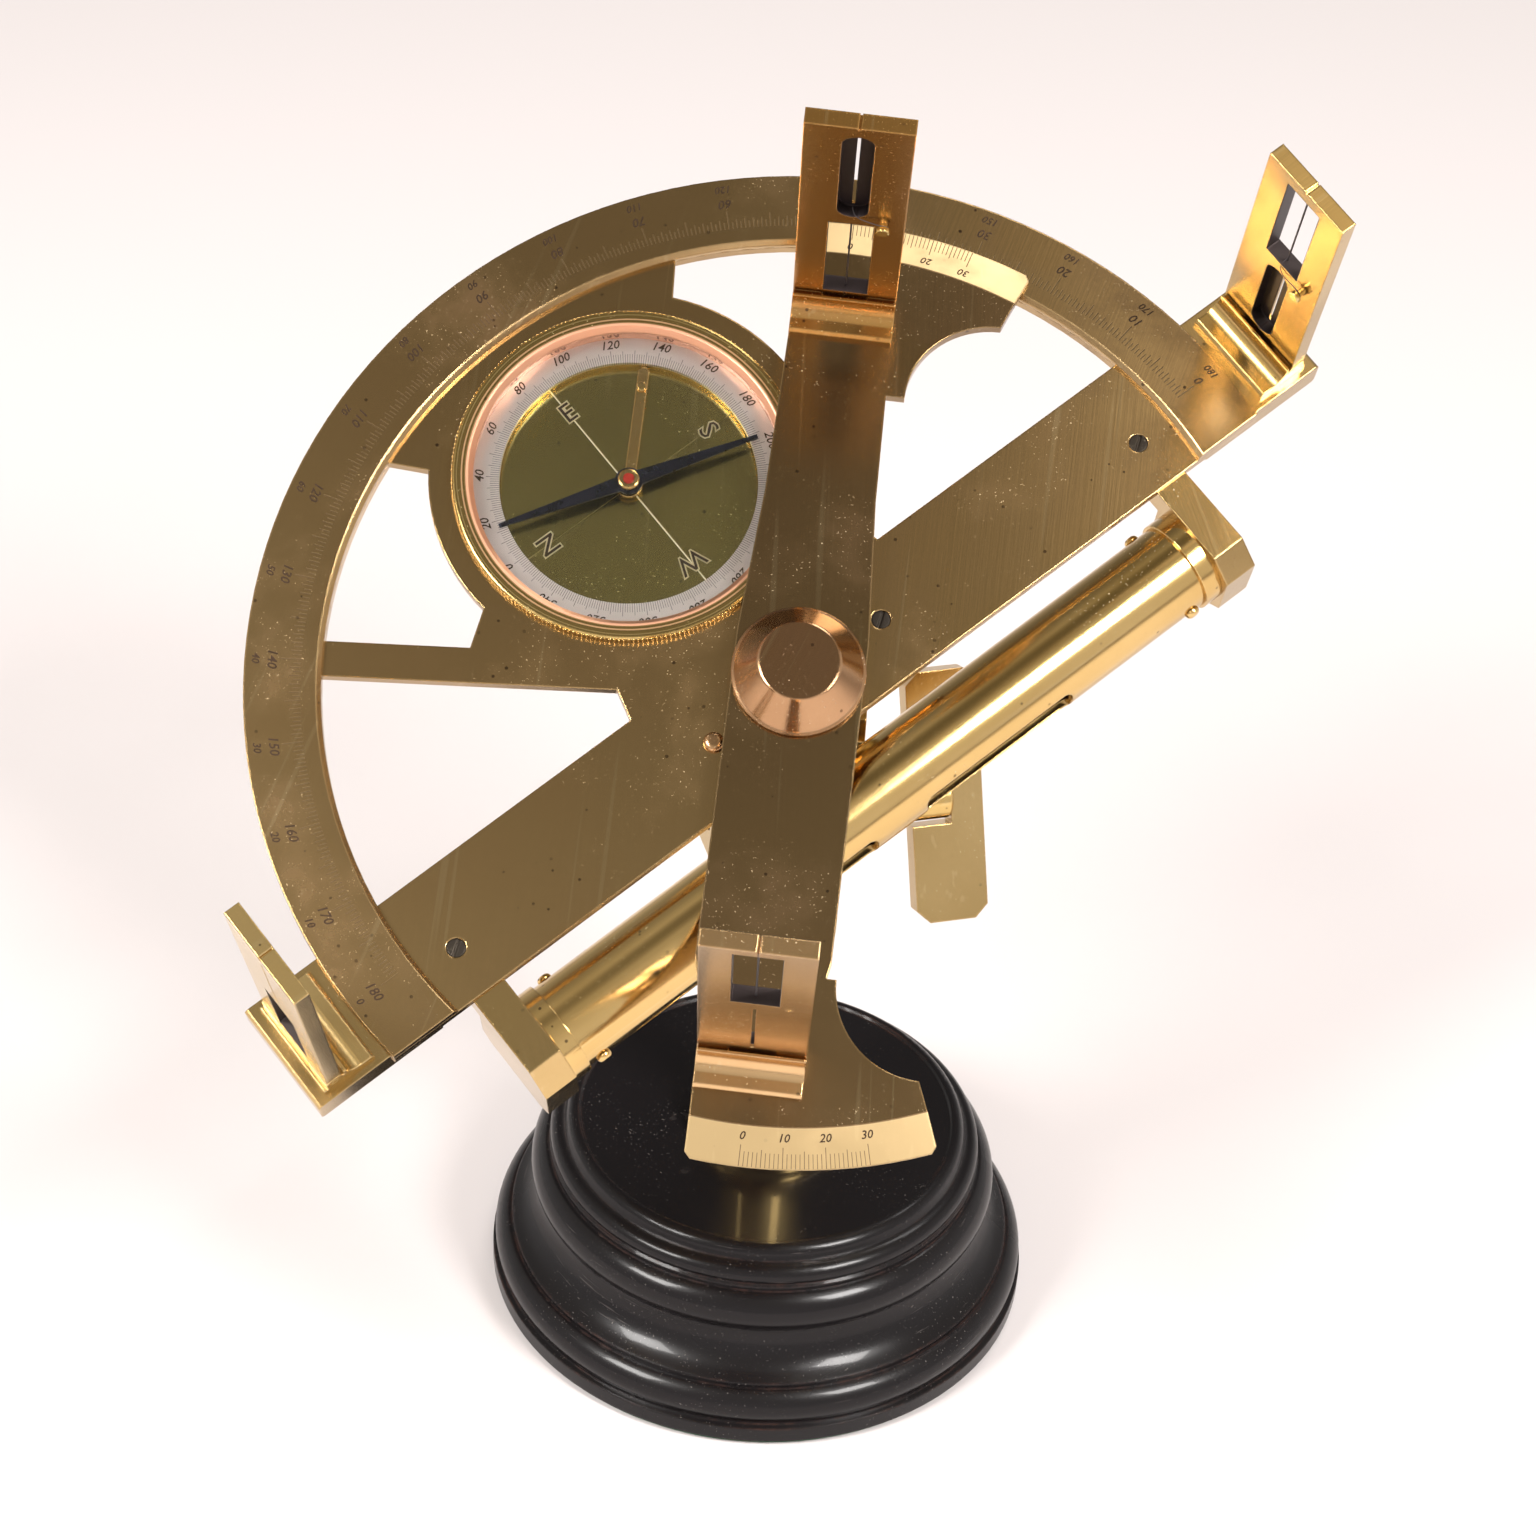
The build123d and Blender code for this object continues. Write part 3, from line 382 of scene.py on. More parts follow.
def makeTicks():
    # engraved lines every Step degrees, from Start to End, between two radii
    group, given, result = newGroup(
        "engravedTicks",
        [
            ("Vector", "NodeSocketVector", None),
            ("Step", "NodeSocketFloat", 1.0),
            ("Start", "NodeSocketFloat", -180.0),
            ("End", "NodeSocketFloat", 180.0),
            ("Inner", "NodeSocketFloat", 0.1),
            ("Outer", "NodeSocketFloat", 0.11),
            ("Width", "NodeSocketFloat", 0.00016),
        ],
        [("Mask", "NodeSocketFloat")],
    )
    split = add(group, "ShaderNodeSeparateXYZ", {"Vector": given["Vector"]})
    x, y = split.outputs["X"], split.outputs["Y"]
    radius = lengthOf(group, x, y)
    angle = times(group, calc(group, "ARCTAN2", y, x), 180 / pi)
    phase = calc(group, "DIVIDE", angle, given["Step"])
    off = calc(group, "ABSOLUTE", minus(group, phase, calc(group, "ROUND", phase)))
    away = times(group, times(group, off, given["Step"]), times(group, radius, pi / 180))
    # a line fades out between these shares of its width
    core, rim = 0.3, 0.62
    line = fade(
        group, away, times(group, given["Width"], core), times(group, given["Width"], rim), 1.0, 0.0,
    )
    margin = times(group, given["Step"], 0.3)
    after = calc(group, "GREATER_THAN", angle, minus(group, given["Start"], margin))
    before = calc(group, "LESS_THAN", angle, plus(group, given["End"], margin))
    within = times(group, after, before)
    beyond = calc(group, "GREATER_THAN", radius, given["Inner"])
    reached = times(group, beyond, calc(group, "LESS_THAN", radius, given["Outer"]))
    feed(group, result["Mask"], times(group, line, times(group, within, reached)))
    return group


tarnish = makeTarnish()
brushGrain = makeScratches()
wornEdge = makeWornEdge()
engravedTicks = makeTicks()


# depth of fine marks in the metal, in metres
fineDepth = 0.0002


def startMaterial(name):
    material = bpy.data.materials.new(name)
    material.use_nodes = True
    tree = material.node_tree
    shader = tree.nodes["Principled BSDF"]
    where = add(tree, "ShaderNodeTexCoord").outputs["Object"]
    return material, tree, shader, where


def placed(tree, where, place, turn=0.0):
    # the point as measured in a frame on the instrument
    node = add(tree, "ShaderNodeMapping", {"Vector": where}, vector_type="TEXTURE")
    node.inputs["Location"].default_value = place.translation
    node.inputs["Rotation"].default_value = (place @ Matrix.Rotation(radians(turn), 4, "Z")).to_euler()
    return node.outputs[0]


# ---------------------------------------------------------------- brass
brassLooks = {
    # face colour, its second tone, the colour of stains, roughness, how much is stained,
    # degrees the grain is turned by, seed of the clouds, strength of the relief
    "plateBrass": {
        "bright": (0.60, 0.42, 0.20, 1), "dull": (0.40, 0.265, 0.12, 1), "stain": (0.17, 0.10, 0.05, 1),
        "rough": 0.15, "stained": 0.72, "grainTurn": 45, "seed": 0.0, "bump": 0.07,
    },
    "limbBrass": {
        "bright": (0.60, 0.42, 0.205, 1), "dull": (0.40, 0.265, 0.12, 1), "stain": (0.16, 0.09, 0.05, 1),
        "rough": 0.16, "stained": 0.85, "grainTurn": 30, "seed": 3.1, "bump": 0.08,
    },
    "alidadeBrass": {
        "bright": (0.42, 0.29, 0.14, 1), "dull": (0.27, 0.175, 0.085, 1), "stain": (0.12, 0.07, 0.04, 1),
        "rough": 0.14, "stained": 0.68, "grainTurn": 4, "seed": 7.7, "bump": 0.07,
    },
    "farBrass": {
        "bright": (0.56, 0.32, 0.11, 1), "dull": (0.43, 0.235, 0.07, 1), "stain": (0.22, 0.10, 0.05, 1),
        "rough": 0.20, "stained": 0.40, "grainTurn": 0, "seed": 11.3, "bump": 0.07,
    },
    "nearBrass": {
        "bright": (0.72, 0.49, 0.26, 1), "dull": (0.58, 0.37, 0.17, 1), "stain": (0.40, 0.24, 0.10, 1),
        "rough": 0.17, "stained": 0.22, "grainTurn": 0, "seed": 13.3, "bump": 0.06,
    },
    "rightBrass": {
        "bright": (0.62, 0.43, 0.17, 1), "dull": (0.44, 0.29, 0.10, 1), "stain": (0.38, 0.22, 0.07, 1),
        "rough": 0.15, "stained": 0.45, "grainTurn": 0, "seed": 17.3, "bump": 0.07,
    },
    "leftBrass": {
        "bright": (0.80, 0.60, 0.29, 1), "dull": (0.66, 0.46, 0.18, 1), "stain": (0.30, 0.17, 0.08, 1),
        "rough": 0.16, "stained": 0.30, "grainTurn": 0, "seed": 18.7, "bump": 0.06,
    },
    "pegBrass": {
        "bright": (0.86, 0.66, 0.28, 1), "dull": (0.70, 0.50, 0.20, 1), "stain": (0.32, 0.20, 0.08, 1),
        "rough": 0.14, "stained": 0.25, "grainTurn": 0, "seed": 21.0, "bump": 0.04,
    },
    "tubeBrass": {
        "bright": (0.72, 0.51, 0.22, 1), "dull": (0.58, 0.385, 0.14, 1), "stain": (0.30, 0.19, 0.08, 1),
        "rough": 0.11, "stained": 0.40, "grainTurn": 0, "seed": 15.9, "bump": 0.05,
    },
    "blockBrass": {
        "bright": (0.60, 0.43, 0.20, 1), "dull": (0.44, 0.30, 0.12, 1), "stain": (0.26, 0.17, 0.07, 1),
        "rough": 0.16, "stained": 0.35, "grainTurn": 70, "seed": 19.4, "bump": 0.07,
    },
    "turnedBrass": {
        "bright": (0.78, 0.56, 0.24, 1), "dull": (0.60, 0.40, 0.15, 1), "stain": (0.30, 0.18, 0.08, 1),
        "rough": 0.14, "stained": 0.30, "grainTurn": 0, "seed": 23.8, "bump": 0.06,
    },
    "knobBrass": {
        "bright": (0.54, 0.33, 0.18, 1), "dull": (0.38, 0.215, 0.11, 1), "stain": (0.28, 0.15, 0.08, 1),
        "rough": 0.13, "stained": 0.30, "grainTurn": 25, "seed": 27.0, "bump": 0.10,
    },
    "bezelBrass": {
        "bright": (0.62, 0.45, 0.18, 1), "dull": (0.48, 0.34, 0.12, 1), "stain": (0.26, 0.16, 0.07, 1),
        "rough": 0.15, "stained": 0.30, "grainTurn": 0, "seed": 25.0, "bump": 0.05,
    },
    "bossScrewBrass": {
        "bright": (0.66, 0.42, 0.24, 1), "dull": (0.50, 0.30, 0.15, 1), "stain": (0.25, 0.14, 0.07, 1),
        "rough": 0.16, "stained": 0.30, "grainTurn": 0, "seed": 29.0, "bump": 0.08,
    },
    "standBrass": {
        "bright": (0.76, 0.54, 0.22, 1), "dull": (0.58, 0.40, 0.14, 1), "stain": (0.27, 0.17, 0.07, 1),
        "rough": 0.16, "stained": 0.40, "grainTurn": 0, "seed": 31.0, "bump": 0.06,
    },
    "dialBrass": {
        "bright": (0.46, 0.375, 0.14, 1), "dull": (0.33, 0.265, 0.09, 1), "stain": (0.14, 0.10, 0.045, 1),
        "rough": 0.17, "stained": 0.40, "grainTurn": 50, "seed": 41.0, "bump": 0.09,
    },
    "copperRing": {
        "bright": (0.90, 0.50, 0.33, 1), "dull": (0.80, 0.40, 0.24, 1), "stain": (0.36, 0.16, 0.09, 1),
        "rough": 0.16, "stained": 0.2, "grainTurn": 0, "seed": 43.0, "bump": 0.05,
    },
    "screwSteel": {
        "bright": (0.055, 0.045, 0.035, 1), "dull": (0.025, 0.022, 0.02, 1),
        "stain": (0.02, 0.014, 0.01, 1), "rough": 0.38, "stained": 0.6, "grainTurn": 0, "seed": 47.0,
        "bump": 0.14,
    },
}


def makeBrass(name, place=plateFrame, marks=None):
    look = brassLooks[name]
    material, tree, shader, where = startMaterial(name)
    local = placed(tree, where, place, look["grainTurn"])
    old = use(tree, tarnish, Vector=where, Seed=look["seed"], Stain=look["stained"])
    grain = use(tree, brushGrain, Vector=local)
    edge = use(tree, wornEdge)
    rubbed = times(tree, edge["Edge"], minus(tree, 1.0, times(tree, old["Height"], 0.6)))
    layers = [
        (times(tree, old["Stains"], 0.8), look["stain"]),
        (times(tree, grain["Grain"], 0.35), look["dull"]),
        (times(tree, old["Specks"], 0.8), shaded(look["stain"], 0.5)),
        (times(tree, grain["Hairlines"], 0.12), (0.85, 0.72, 0.45, 1)),
        (rubbed, shaded(look["bright"], 1.25)),
        (times(tree, old["Dust"], 0.3), (0.60, 0.52, 0.38, 1)),
    ]
    face = mixColour(tree, old["Clouds"], look["bright"], look["dull"])
    for mask, shade in layers:
        face = mixColour(tree, mask, face, shade)
    rough = plus(tree, look["rough"], times(tree, old["Stains"], 0.14))
    rough = plus(tree, rough, times(tree, old["Clouds"], 0.06))
    rough = plus(tree, rough, times(tree, old["Dust"], 0.2))
    metal = minus(tree, 1.0, times(tree, old["Dust"], 0.6))
    height = plus(tree, times(tree, grain["Grain"], 0.7), times(tree, old["Height"], 0.3))
    for mask, shade in marks(tree, where) if marks else []:
        face = mixColour(tree, mask, face, shade)
        rough = plus(tree, rough, times(tree, mask, 0.3))
        height = minus(tree, height, times(tree, mask, 1.5))
    feed(tree, shader.inputs["Base Color"], face)
    feed(tree, shader.inputs["Metallic"], metal)
    feed(tree, shader.inputs["Roughness"], rough)
    addBump(tree, shader, height, look["bump"], fineDepth, edge["Soft Normal"])
    return material


def tickSet(tree, local, rows):
    total = None
    for row in rows:
        mask = use(
            tree, engravedTicks, Vector=local, Step=row[0], Start=row[1], End=row[2], Inner=row[3] * mm,
            Outer=row[4] * mm, Width=row[5] * mm,
        )["Mask"]
        total = mask if total is None else calc(tree, "MAXIMUM", total, mask)
    return total


def limbMarks(tree, where):
    local = placed(tree, where, plateFrame)
    rows = [
        (0.5, 0, 180, 125.6, 127.6, 0.30), (1.0, 0, 180, 125.6, 128.4, 0.30),
        (5.0, 0, 180, 125.6, 129.6, 0.30), (10.0, 0, 180, 125.6, 130.9, 0.32),
    ]
    return [(times(tree, tickSet(tree, local, rows), 0.85), (0.05, 0.032, 0.02, 1))]


def radial(tree, local):
    split = add(tree, "ShaderNodeSeparateXYZ", {"Vector": local})
    x, y = split.outputs["X"], split.outputs["Y"]
    return lengthOf(tree, x, y)


def band(tree, value, low, high, soft=0.00006):
    # 1 where a value lies between two limits in metres
    return times(
        tree, fade(tree, value, low - soft, low + soft),
        fade(tree, value, high - soft, high + soft, 1.0, 0.0),
    )


def vernierMarks(tree, where):
    # longer and wider lines at every fifth and tenth: lines apart, inner radius, width
    lengths = ((1, 122.9, 0.20), (5, 122.2, 0.22), (10, 121.4, 0.24))
    end, outer = 14.7, 126.4
    local = placed(tree, where, alidadeFrame)
    flipped = placed(tree, where, alidadeFrame, 180)
    far = [(vernierStep * count, -end, 0, inner, outer, width) for count, inner, width in lengths]
    near = [(vernierStep * count, 0, end, inner, outer, width) for count, inner, width in lengths]
    both = calc(tree, "MAXIMUM", tickSet(tree, local, far), tickSet(tree, flipped, near))
    reach = radial(tree, local)
    line = band(tree, reach, 0.11655, 0.11685)
    strip = times(tree, calc(tree, "GREATER_THAN", reach, 0.1168), 0.7)
    return [
        (strip, (0.62, 0.46, 0.24, 1)), (times(tree, line, 0.7), (0.10, 0.06, 0.03, 1)),
        (times(tree, both, 0.85), (0.07, 0.045, 0.03, 1)),
    ]


def dialMarks(tree, where):
    local = placed(tree, where, compassFrame)
    split = add(tree, "ShaderNodeSeparateXYZ", {"Vector": local})
    # the east-west line is painted pale, a painted highlight of light caught by the cut, with a painted
    # shade stripe 0.26 mm beside it
    bright = band(tree, calc(tree, "ABSOLUTE", split.outputs["X"]), -1.0, 0.00016)
    shade = band(tree, calc(tree, "ABSOLUTE", minus(tree, split.outputs["X"], 0.00026)), -1.0, 0.00010)
    faint = band(tree, calc(tree, "ABSOLUTE", split.outputs["Y"]), -1.0, 0.00012)
    return [
        (times(tree, faint, 0.65), (0.07, 0.05, 0.03, 1)),
        # painted shade stripe, then the painted highlight of the east-west line
        (times(tree, shade, 0.6), (0.05, 0.035, 0.02, 1)),
        (times(tree, bright, 0.9), (0.90, 0.84, 0.66, 1)),
    ]


def bezelMarks(tree, where):
    # rings turned into the bezel: inner and outer radius, strength, colour
    rings = (
        (0.0, 41.9, 0.85, (0.78, 0.40, 0.27, 1)),
        (41.85, 42.15, 0.7, (0.14, 0.07, 0.035, 1)),
        (42.7, 43.1, 0.55, (0.80, 0.42, 0.28, 1)),
        (44.05, 44.3, 0.7, (0.12, 0.08, 0.035, 1)),
    )
    reach = radial(tree, placed(tree, where, compassFrame))
    found = []
    for low, high, share, shade in rings:
        found.append((times(tree, band(tree, reach, low * mm, high * mm), share), shade))
    return found


def screwMarks(tree, where):
    side = add(tree, "ShaderNodeSeparateXYZ", {"Vector": placed(tree, where, plateFrame)}).outputs["X"]
    return [(calc(tree, "GREATER_THAN", side, 0.0), (0.04, 0.034, 0.028, 1))]


def sightMarks(name):
    # painted shade, near black, inside the window and the slot, and the line filed above the window
    look = sights[name]
    height = look["height"]
    if look["windowBelow"]:
        openings = {"window": (9.5, height / 2 - 0.8), "slot": (height / 2 + 3.2, height - 4.5)}
    else:
        openings = {"window": (height / 2 + 3.6, height - 4.0), "slot": (9.0, height / 2 - 0.5)}

    def marks(tree, where):
        split = add(tree, "ShaderNodeSeparateXYZ", {"Vector": placed(tree, where, look["place"])})
        side = calc(tree, "ABSOLUTE", split.outputs["Y"])
        rise, depth = split.outputs["Z"], split.outputs["X"]
        low, high = openings["window"]
        window = times(
            tree, band(tree, side, -1.0, 5.82 * mm),
            band(tree, rise, (low - 0.12) * mm, (high + 0.12) * mm),
        )
        low, high = openings["slot"]
        bottom = minus(tree, (low + 3.9) * mm, rise)
        top = minus(tree, rise, (high - 3.9) * mm)
        beyond = calc(tree, "MAXIMUM", calc(tree, "MAXIMUM", bottom, top), 0.0)
        reach = lengthOf(tree, side, beyond)
        slot = calc(tree, "LESS_THAN", reach, 4.0 * mm)
        if look["coved"]:
            covedSide = calc(tree, "LESS_THAN", depth, 3.3 * mm)
        else:
            covedSide = calc(tree, "GREATER_THAN", depth, 0.9 * mm)
        # the window, and the slot on its coved side, are painted near black: painted shade inside the
        # openings
        dark = calc(tree, "MAXIMUM", window, times(tree, slot, covedSide))
        found = [(times(tree, dark, 0.97), (0.035, 0.03, 0.036, 1))]
        if name == "near":
            above = calc(tree, "GREATER_THAN", rise, openings["window"][1] * mm)
            line = times(tree, band(tree, side, -1.0, 0.22 * mm), above)
            found.append((times(tree, line, 0.8), (0.10, 0.05, 0.03, 1)))
        else:
            dot = lengthOf(tree, side, minus(tree, rise, 8.5 * mm))
            found.append((band(tree, dot, -1.0, 0.5 * mm), (0.04, 0.02, 0.015, 1)))
        return found

    return marks


def makeSilver():
    material, tree, shader, where = startMaterial("silverRing")
    local = placed(tree, where, compassFrame)
    old = use(tree, tarnish, Vector=where, Seed=5.0, Stain=0.35)
    rows = [
        (1.0, -180, 180, 33.4, 35.9, 0.14), (5.0, -180, 180, 33.4, 36.7, 0.15),
        (10.0, -180, 180, 33.4, 37.0, 0.16),
    ]
    mask = times(tree, tickSet(tree, local, rows), 0.9)
    face = mixColour(tree, old["Clouds"], (0.80, 0.72, 0.70, 1), (0.66, 0.57, 0.55, 1))
    face = mixColour(tree, times(tree, old["Stains"], 0.5), face, (0.42, 0.30, 0.24, 1))
    face = mixColour(tree, mask, face, (0.05, 0.04, 0.04, 1))
    feed(tree, shader.inputs["Base Color"], face)
    feed(tree, shader.inputs["Metallic"], minus(tree, 0.85, times(tree, mask, 0.8), clamp=True))
    feed(tree, shader.inputs["Roughness"], plus(tree, 0.34, times(tree, old["Clouds"], 0.1)))
    addBump(tree, shader, minus(tree, old["Height"], mask), 0.12, fineDepth)
    return material


def makeLacquer():
    # ebonised wood under a thick black lacquer, rubbed through to brown on its edges
    look = {
        "black": (0.0055, 0.0045, 0.005, 1), "brown": (0.045, 0.018, 0.012, 1),
        "scuff": (0.10, 0.085, 0.08, 1),
    }
    material, tree, shader, where = startMaterial("blackLacquer")
    old = use(tree, tarnish, Vector=where, Seed=2.0, Stain=0.3)
    edge = use(tree, wornEdge, Radius=0.0011)
    broad = add(
        tree, "ShaderNodeTexNoise", {"Vector": where, "Scale": 30.0, "Detail": 6.0, "Roughness": 0.6},
    )
    chips = add(
        tree, "ShaderNodeTexNoise", {"Vector": where, "Scale": 240.0, "Detail": 5.0, "Roughness": 0.7},
    )
    wear = times(tree, edge["Edge"], fade(tree, broad.outputs["Fac"], 0.42, 0.60))
    wear = times(tree, wear, fade(tree, chips.outputs["Fac"], 0.35, 0.6))
    ring = add(tree, "ShaderNodeMapping", {"Vector": where})
    ring.inputs["Scale"].default_value = (60, 60, 1400)
    turned = add(tree, "ShaderNodeTexNoise", {"Vector": ring.outputs[0], "Scale": 1.0, "Detail": 3.0})
    scuffs = times(
        tree, fade(tree, turned.outputs["Fac"], 0.64, 0.72), fade(tree, broad.outputs["Fac"], 0.5, 0.62),
    )
    face = mixColour(tree, wear, look["black"], look["brown"])
    face = mixColour(tree, times(tree, scuffs, 0.35), face, look["scuff"])
    face = mixColour(tree, times(tree, old["Dust"], 0.5), face, (0.30, 0.27, 0.25, 1))
    rough = plus(tree, 0.22, times(tree, old["Clouds"], 0.10))
    rough = plus(tree, rough, times(tree, wear, 0.30))
    rough = plus(tree, rough, times(tree, scuffs, 0.20))
    relief = plus(tree, broad.outputs["Fac"], times(tree, wear, -0.4))
    feed(tree, shader.inputs["Base Color"], face)
    feed(tree, shader.inputs["Roughness"], rough)
    addBump(tree, shader, relief, 0.10, 0.001, edge["Soft Normal"])
    feed(tree, shader.inputs["Coat Weight"], minus(tree, 0.16, times(tree, wear, 0.16), clamp=True))
    shader.inputs["Coat Roughness"].default_value = 0.07
    shader.inputs["Specular IOR Level"].default_value = 0.18
    return material


def makeBaize():
    material, tree, shader, where = startMaterial("greenBaize")
    fibre = add(
        tree, "ShaderNodeTexNoise", {"Vector": where, "Scale": 1800.0, "Detail": 5.0, "Roughness": 0.75},
    )
    worn = add(tree, "ShaderNodeTexNoise", {"Vector": where, "Scale": 45.0, "Detail": 5.0})
    face = mixColour(tree, fibre.outputs["Fac"], (0.015, 0.075, 0.035, 1), (0.05, 0.16, 0.08, 1))
    face = mixColour(tree, fade(tree, worn.outputs["Fac"], 0.5, 0.7), face, (0.07, 0.10, 0.05, 1))
    feed(tree, shader.inputs["Base Color"], face)
    addBump(tree, shader, fibre.outputs["Fac"], 0.6, 0.0006)
    shader.inputs["Roughness"].default_value = 0.95
    shader.inputs["Sheen Weight"].default_value = 0.4
    return material


def makePlain(name, first, second, rough, metal=0.0, scale=300.0):
    material, tree, shader, where = startMaterial(name)
    noise = add(
        tree, "ShaderNodeTexNoise", {"Vector": where, "Scale": scale, "Detail": 5.0, "Roughness": 0.65},
    )
    face = mixColour(tree, noise.outputs["Fac"], first, second)
    feed(tree, shader.inputs["Base Color"], face)
    feed(tree, shader.inputs["Roughness"], plus(tree, rough, times(tree, noise.outputs["Fac"], 0.12)))
    addBump(tree, shader, noise.outputs["Fac"], 0.12, fineDepth)
    shader.inputs["Metallic"].default_value = metal
    shader.inputs["Specular IOR Level"].default_value = 0.25
    return material


def makeGlass(name, tint, rough, clear=1.0):
    material, tree, shader, where = startMaterial(name)
    smear = add(
        tree, "ShaderNodeTexNoise", {"Vector": where, "Scale": 60.0, "Detail": 5.0, "Roughness": 0.6},
    )
    feed(
        tree, shader.inputs["Roughness"], fade(tree, smear.outputs["Fac"], 0.45, 0.75, rough, rough + 0.05),
    )
    feed(tree, shader.inputs["Base Color"], mixColour(tree, smear.outputs["Fac"], tint, shaded(tint, 0.96)))
    shader.inputs["Transmission Weight"].default_value = clear
    shader.inputs["IOR"].default_value = 1.47
    return material


looks = {
    "plateBrass": makeBrass("plateBrass"),
    "limbBrass": makeBrass("limbBrass", plateFrame, limbMarks),
    "alidadeBrass": makeBrass("alidadeBrass", alidadeFrame, vernierMarks),
    "farBrass": makeBrass("farBrass", sights["far"]["place"], sightMarks("far")),
    "nearBrass": makeBrass("nearBrass", sights["near"]["place"], sightMarks("near")),
    "rightBrass": makeBrass("rightBrass", sights["right"]["place"], sightMarks("right")),
    "leftBrass": makeBrass("leftBrass", sights["left"]["place"], sightMarks("left")),
    "pegBrass": makeBrass("pegBrass"),
    "knobBrass": makeBrass("knobBrass"),
    "bezelBrass": makeBrass("bezelBrass", compassFrame, bezelMarks),
    "bossScrewBrass": makeBrass("bossScrewBrass", plateFrame, screwMarks),
    "tubeBrass": makeBrass("tubeBrass"),
    "blockBrass": makeBrass("blockBrass"),
    "turnedBrass": makeBrass("turnedBrass"),
    "standBrass": makeBrass("standBrass", Matrix.Identity(4)),
    "dialBrass": makeBrass("dialBrass", compassFrame, dialMarks),
    "copperRing": makeBrass("copperRing"),
    "screwSteel": makeBrass("screwSteel"),
    "silverRing": makeSilver(),
    "blackLacquer": makeLacquer(),
    "greenBaize": makeBaize(),
    "bluedSteel": makePlain(
        "bluedSteel", (0.022, 0.026, 0.045, 1), (0.035, 0.036, 0.052, 1), 0.22, 0.9, 140.0,
    ),
    "darkWire": makePlain("darkWire", (0.03, 0.025, 0.03, 1), (0.07, 0.06, 0.06, 1), 0.45, 0.4, 3000.0),
    "ruby": makePlain("ruby", (0.42, 0.035, 0.02, 1), (0.25, 0.012, 0.01, 1), 0.08, 0.0, 900.0),
    "paleCement": makePlain("paleCement", (0.62, 0.57, 0.48, 1), (0.75, 0.71, 0.62, 1), 0.75, 0.0, 400.0),
    "darkIron": makePlain("darkIron", (0.06, 0.055, 0.05, 1), (0.12, 0.09, 0.07, 1), 0.5, 0.8, 250.0),
    "clearGlass": makeGlass("clearGlass", (0.97, 0.99, 0.98, 1), 0.0),
    "vialGlass": makeGlass("vialGlass", (0.86, 0.86, 0.83, 1), 0.04, 0.35),
    "engraving": makePlain("engraving", (0.03, 0.02, 0.014, 1), (0.08, 0.05, 0.033, 1), 0.45, 1.0, 500.0),
    # pale gold for the outlines of the dial letters: painted highlight of light caught by the engraved cuts
    "engravingPaintedGlint": makePlain(
        "engravingPaintedGlint", (0.85, 0.74, 0.48, 1), (0.60, 0.50, 0.30, 1), 0.25, 1.0, 700.0,
    ),
}
print("materials done:", len(looks))

wears = {
    "plateBrass": ["frame_plate", "boss", "washer", "pivot_stud"],
    "limbBrass": ["limb"],
    "alidadeBrass": ["alidade_bar"],
    "farBrass": ["sight_far", "foot_far"],
    "nearBrass": ["sight_near", "foot_near"],
    "rightBrass": ["sight_right", "foot_right"],
    "leftBrass": ["sight_left", "foot_left"],
    "pegBrass": ["hinge_pins_", "peg_"],
    "knobBrass": ["knob"],
    "tubeBrass": ["level_tube", "tube_collars"],
    "blockBrass": ["end_block_", "level_block_", "clamp_wing"],
    "bezelBrass": ["bezel"],
    "bossScrewBrass": ["boss_screws"],
    "turnedBrass": ["needle_cap", "lifter", "tube_screws", "compass_box"],
    "standBrass": ["pillar", "yoke", "clamp_screw", "tilt_", "turn_screw"],
    "dialBrass": ["compass_dial"],
    "copperRing": ["spacer_ring"],
    "screwSteel": ["level_block_screws"],
    "silverRing": ["compass_ring"],
    "blackLacquer": ["plinth"],
    "greenBaize": ["baize_pad"],
    "bluedSteel": ["needle", "pivot_post"],
    "darkWire": ["hair_"],
    "ruby": ["needle_jewel"],
    "paleCement": ["vial_plugs"],
    "darkIron": ["fixing_"],
    "clearGlass": ["compass_glass"],
    "vialGlass": ["vial"],
}


def lookOf(nodeName):
    # the longest start of a part's name decides
    found = []
    for look, starts in wears.items():
        found += [(len(start), look) for start in starts if nodeName.startswith(start)]
    return looks[max(found)[1]]


for nodeName, piece in nodes.items():
    piece.data.materials.clear()
    piece.data.materials.append(lookOf(nodeName))
print("parts finished with their materials")


# ---------------------------------------------------------------- engraved figures
def finishPiece(name, mesh, material, body, smooth=False):
    mesh.materials.clear()
    mesh.materials.append(material)
    piece = bpy.data.objects.new(name, mesh)
    bpy.context.scene.collection.objects.link(piece)
    for face in mesh.polygons:
        face.use_smooth = smooth
    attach(piece, body)
    return piece


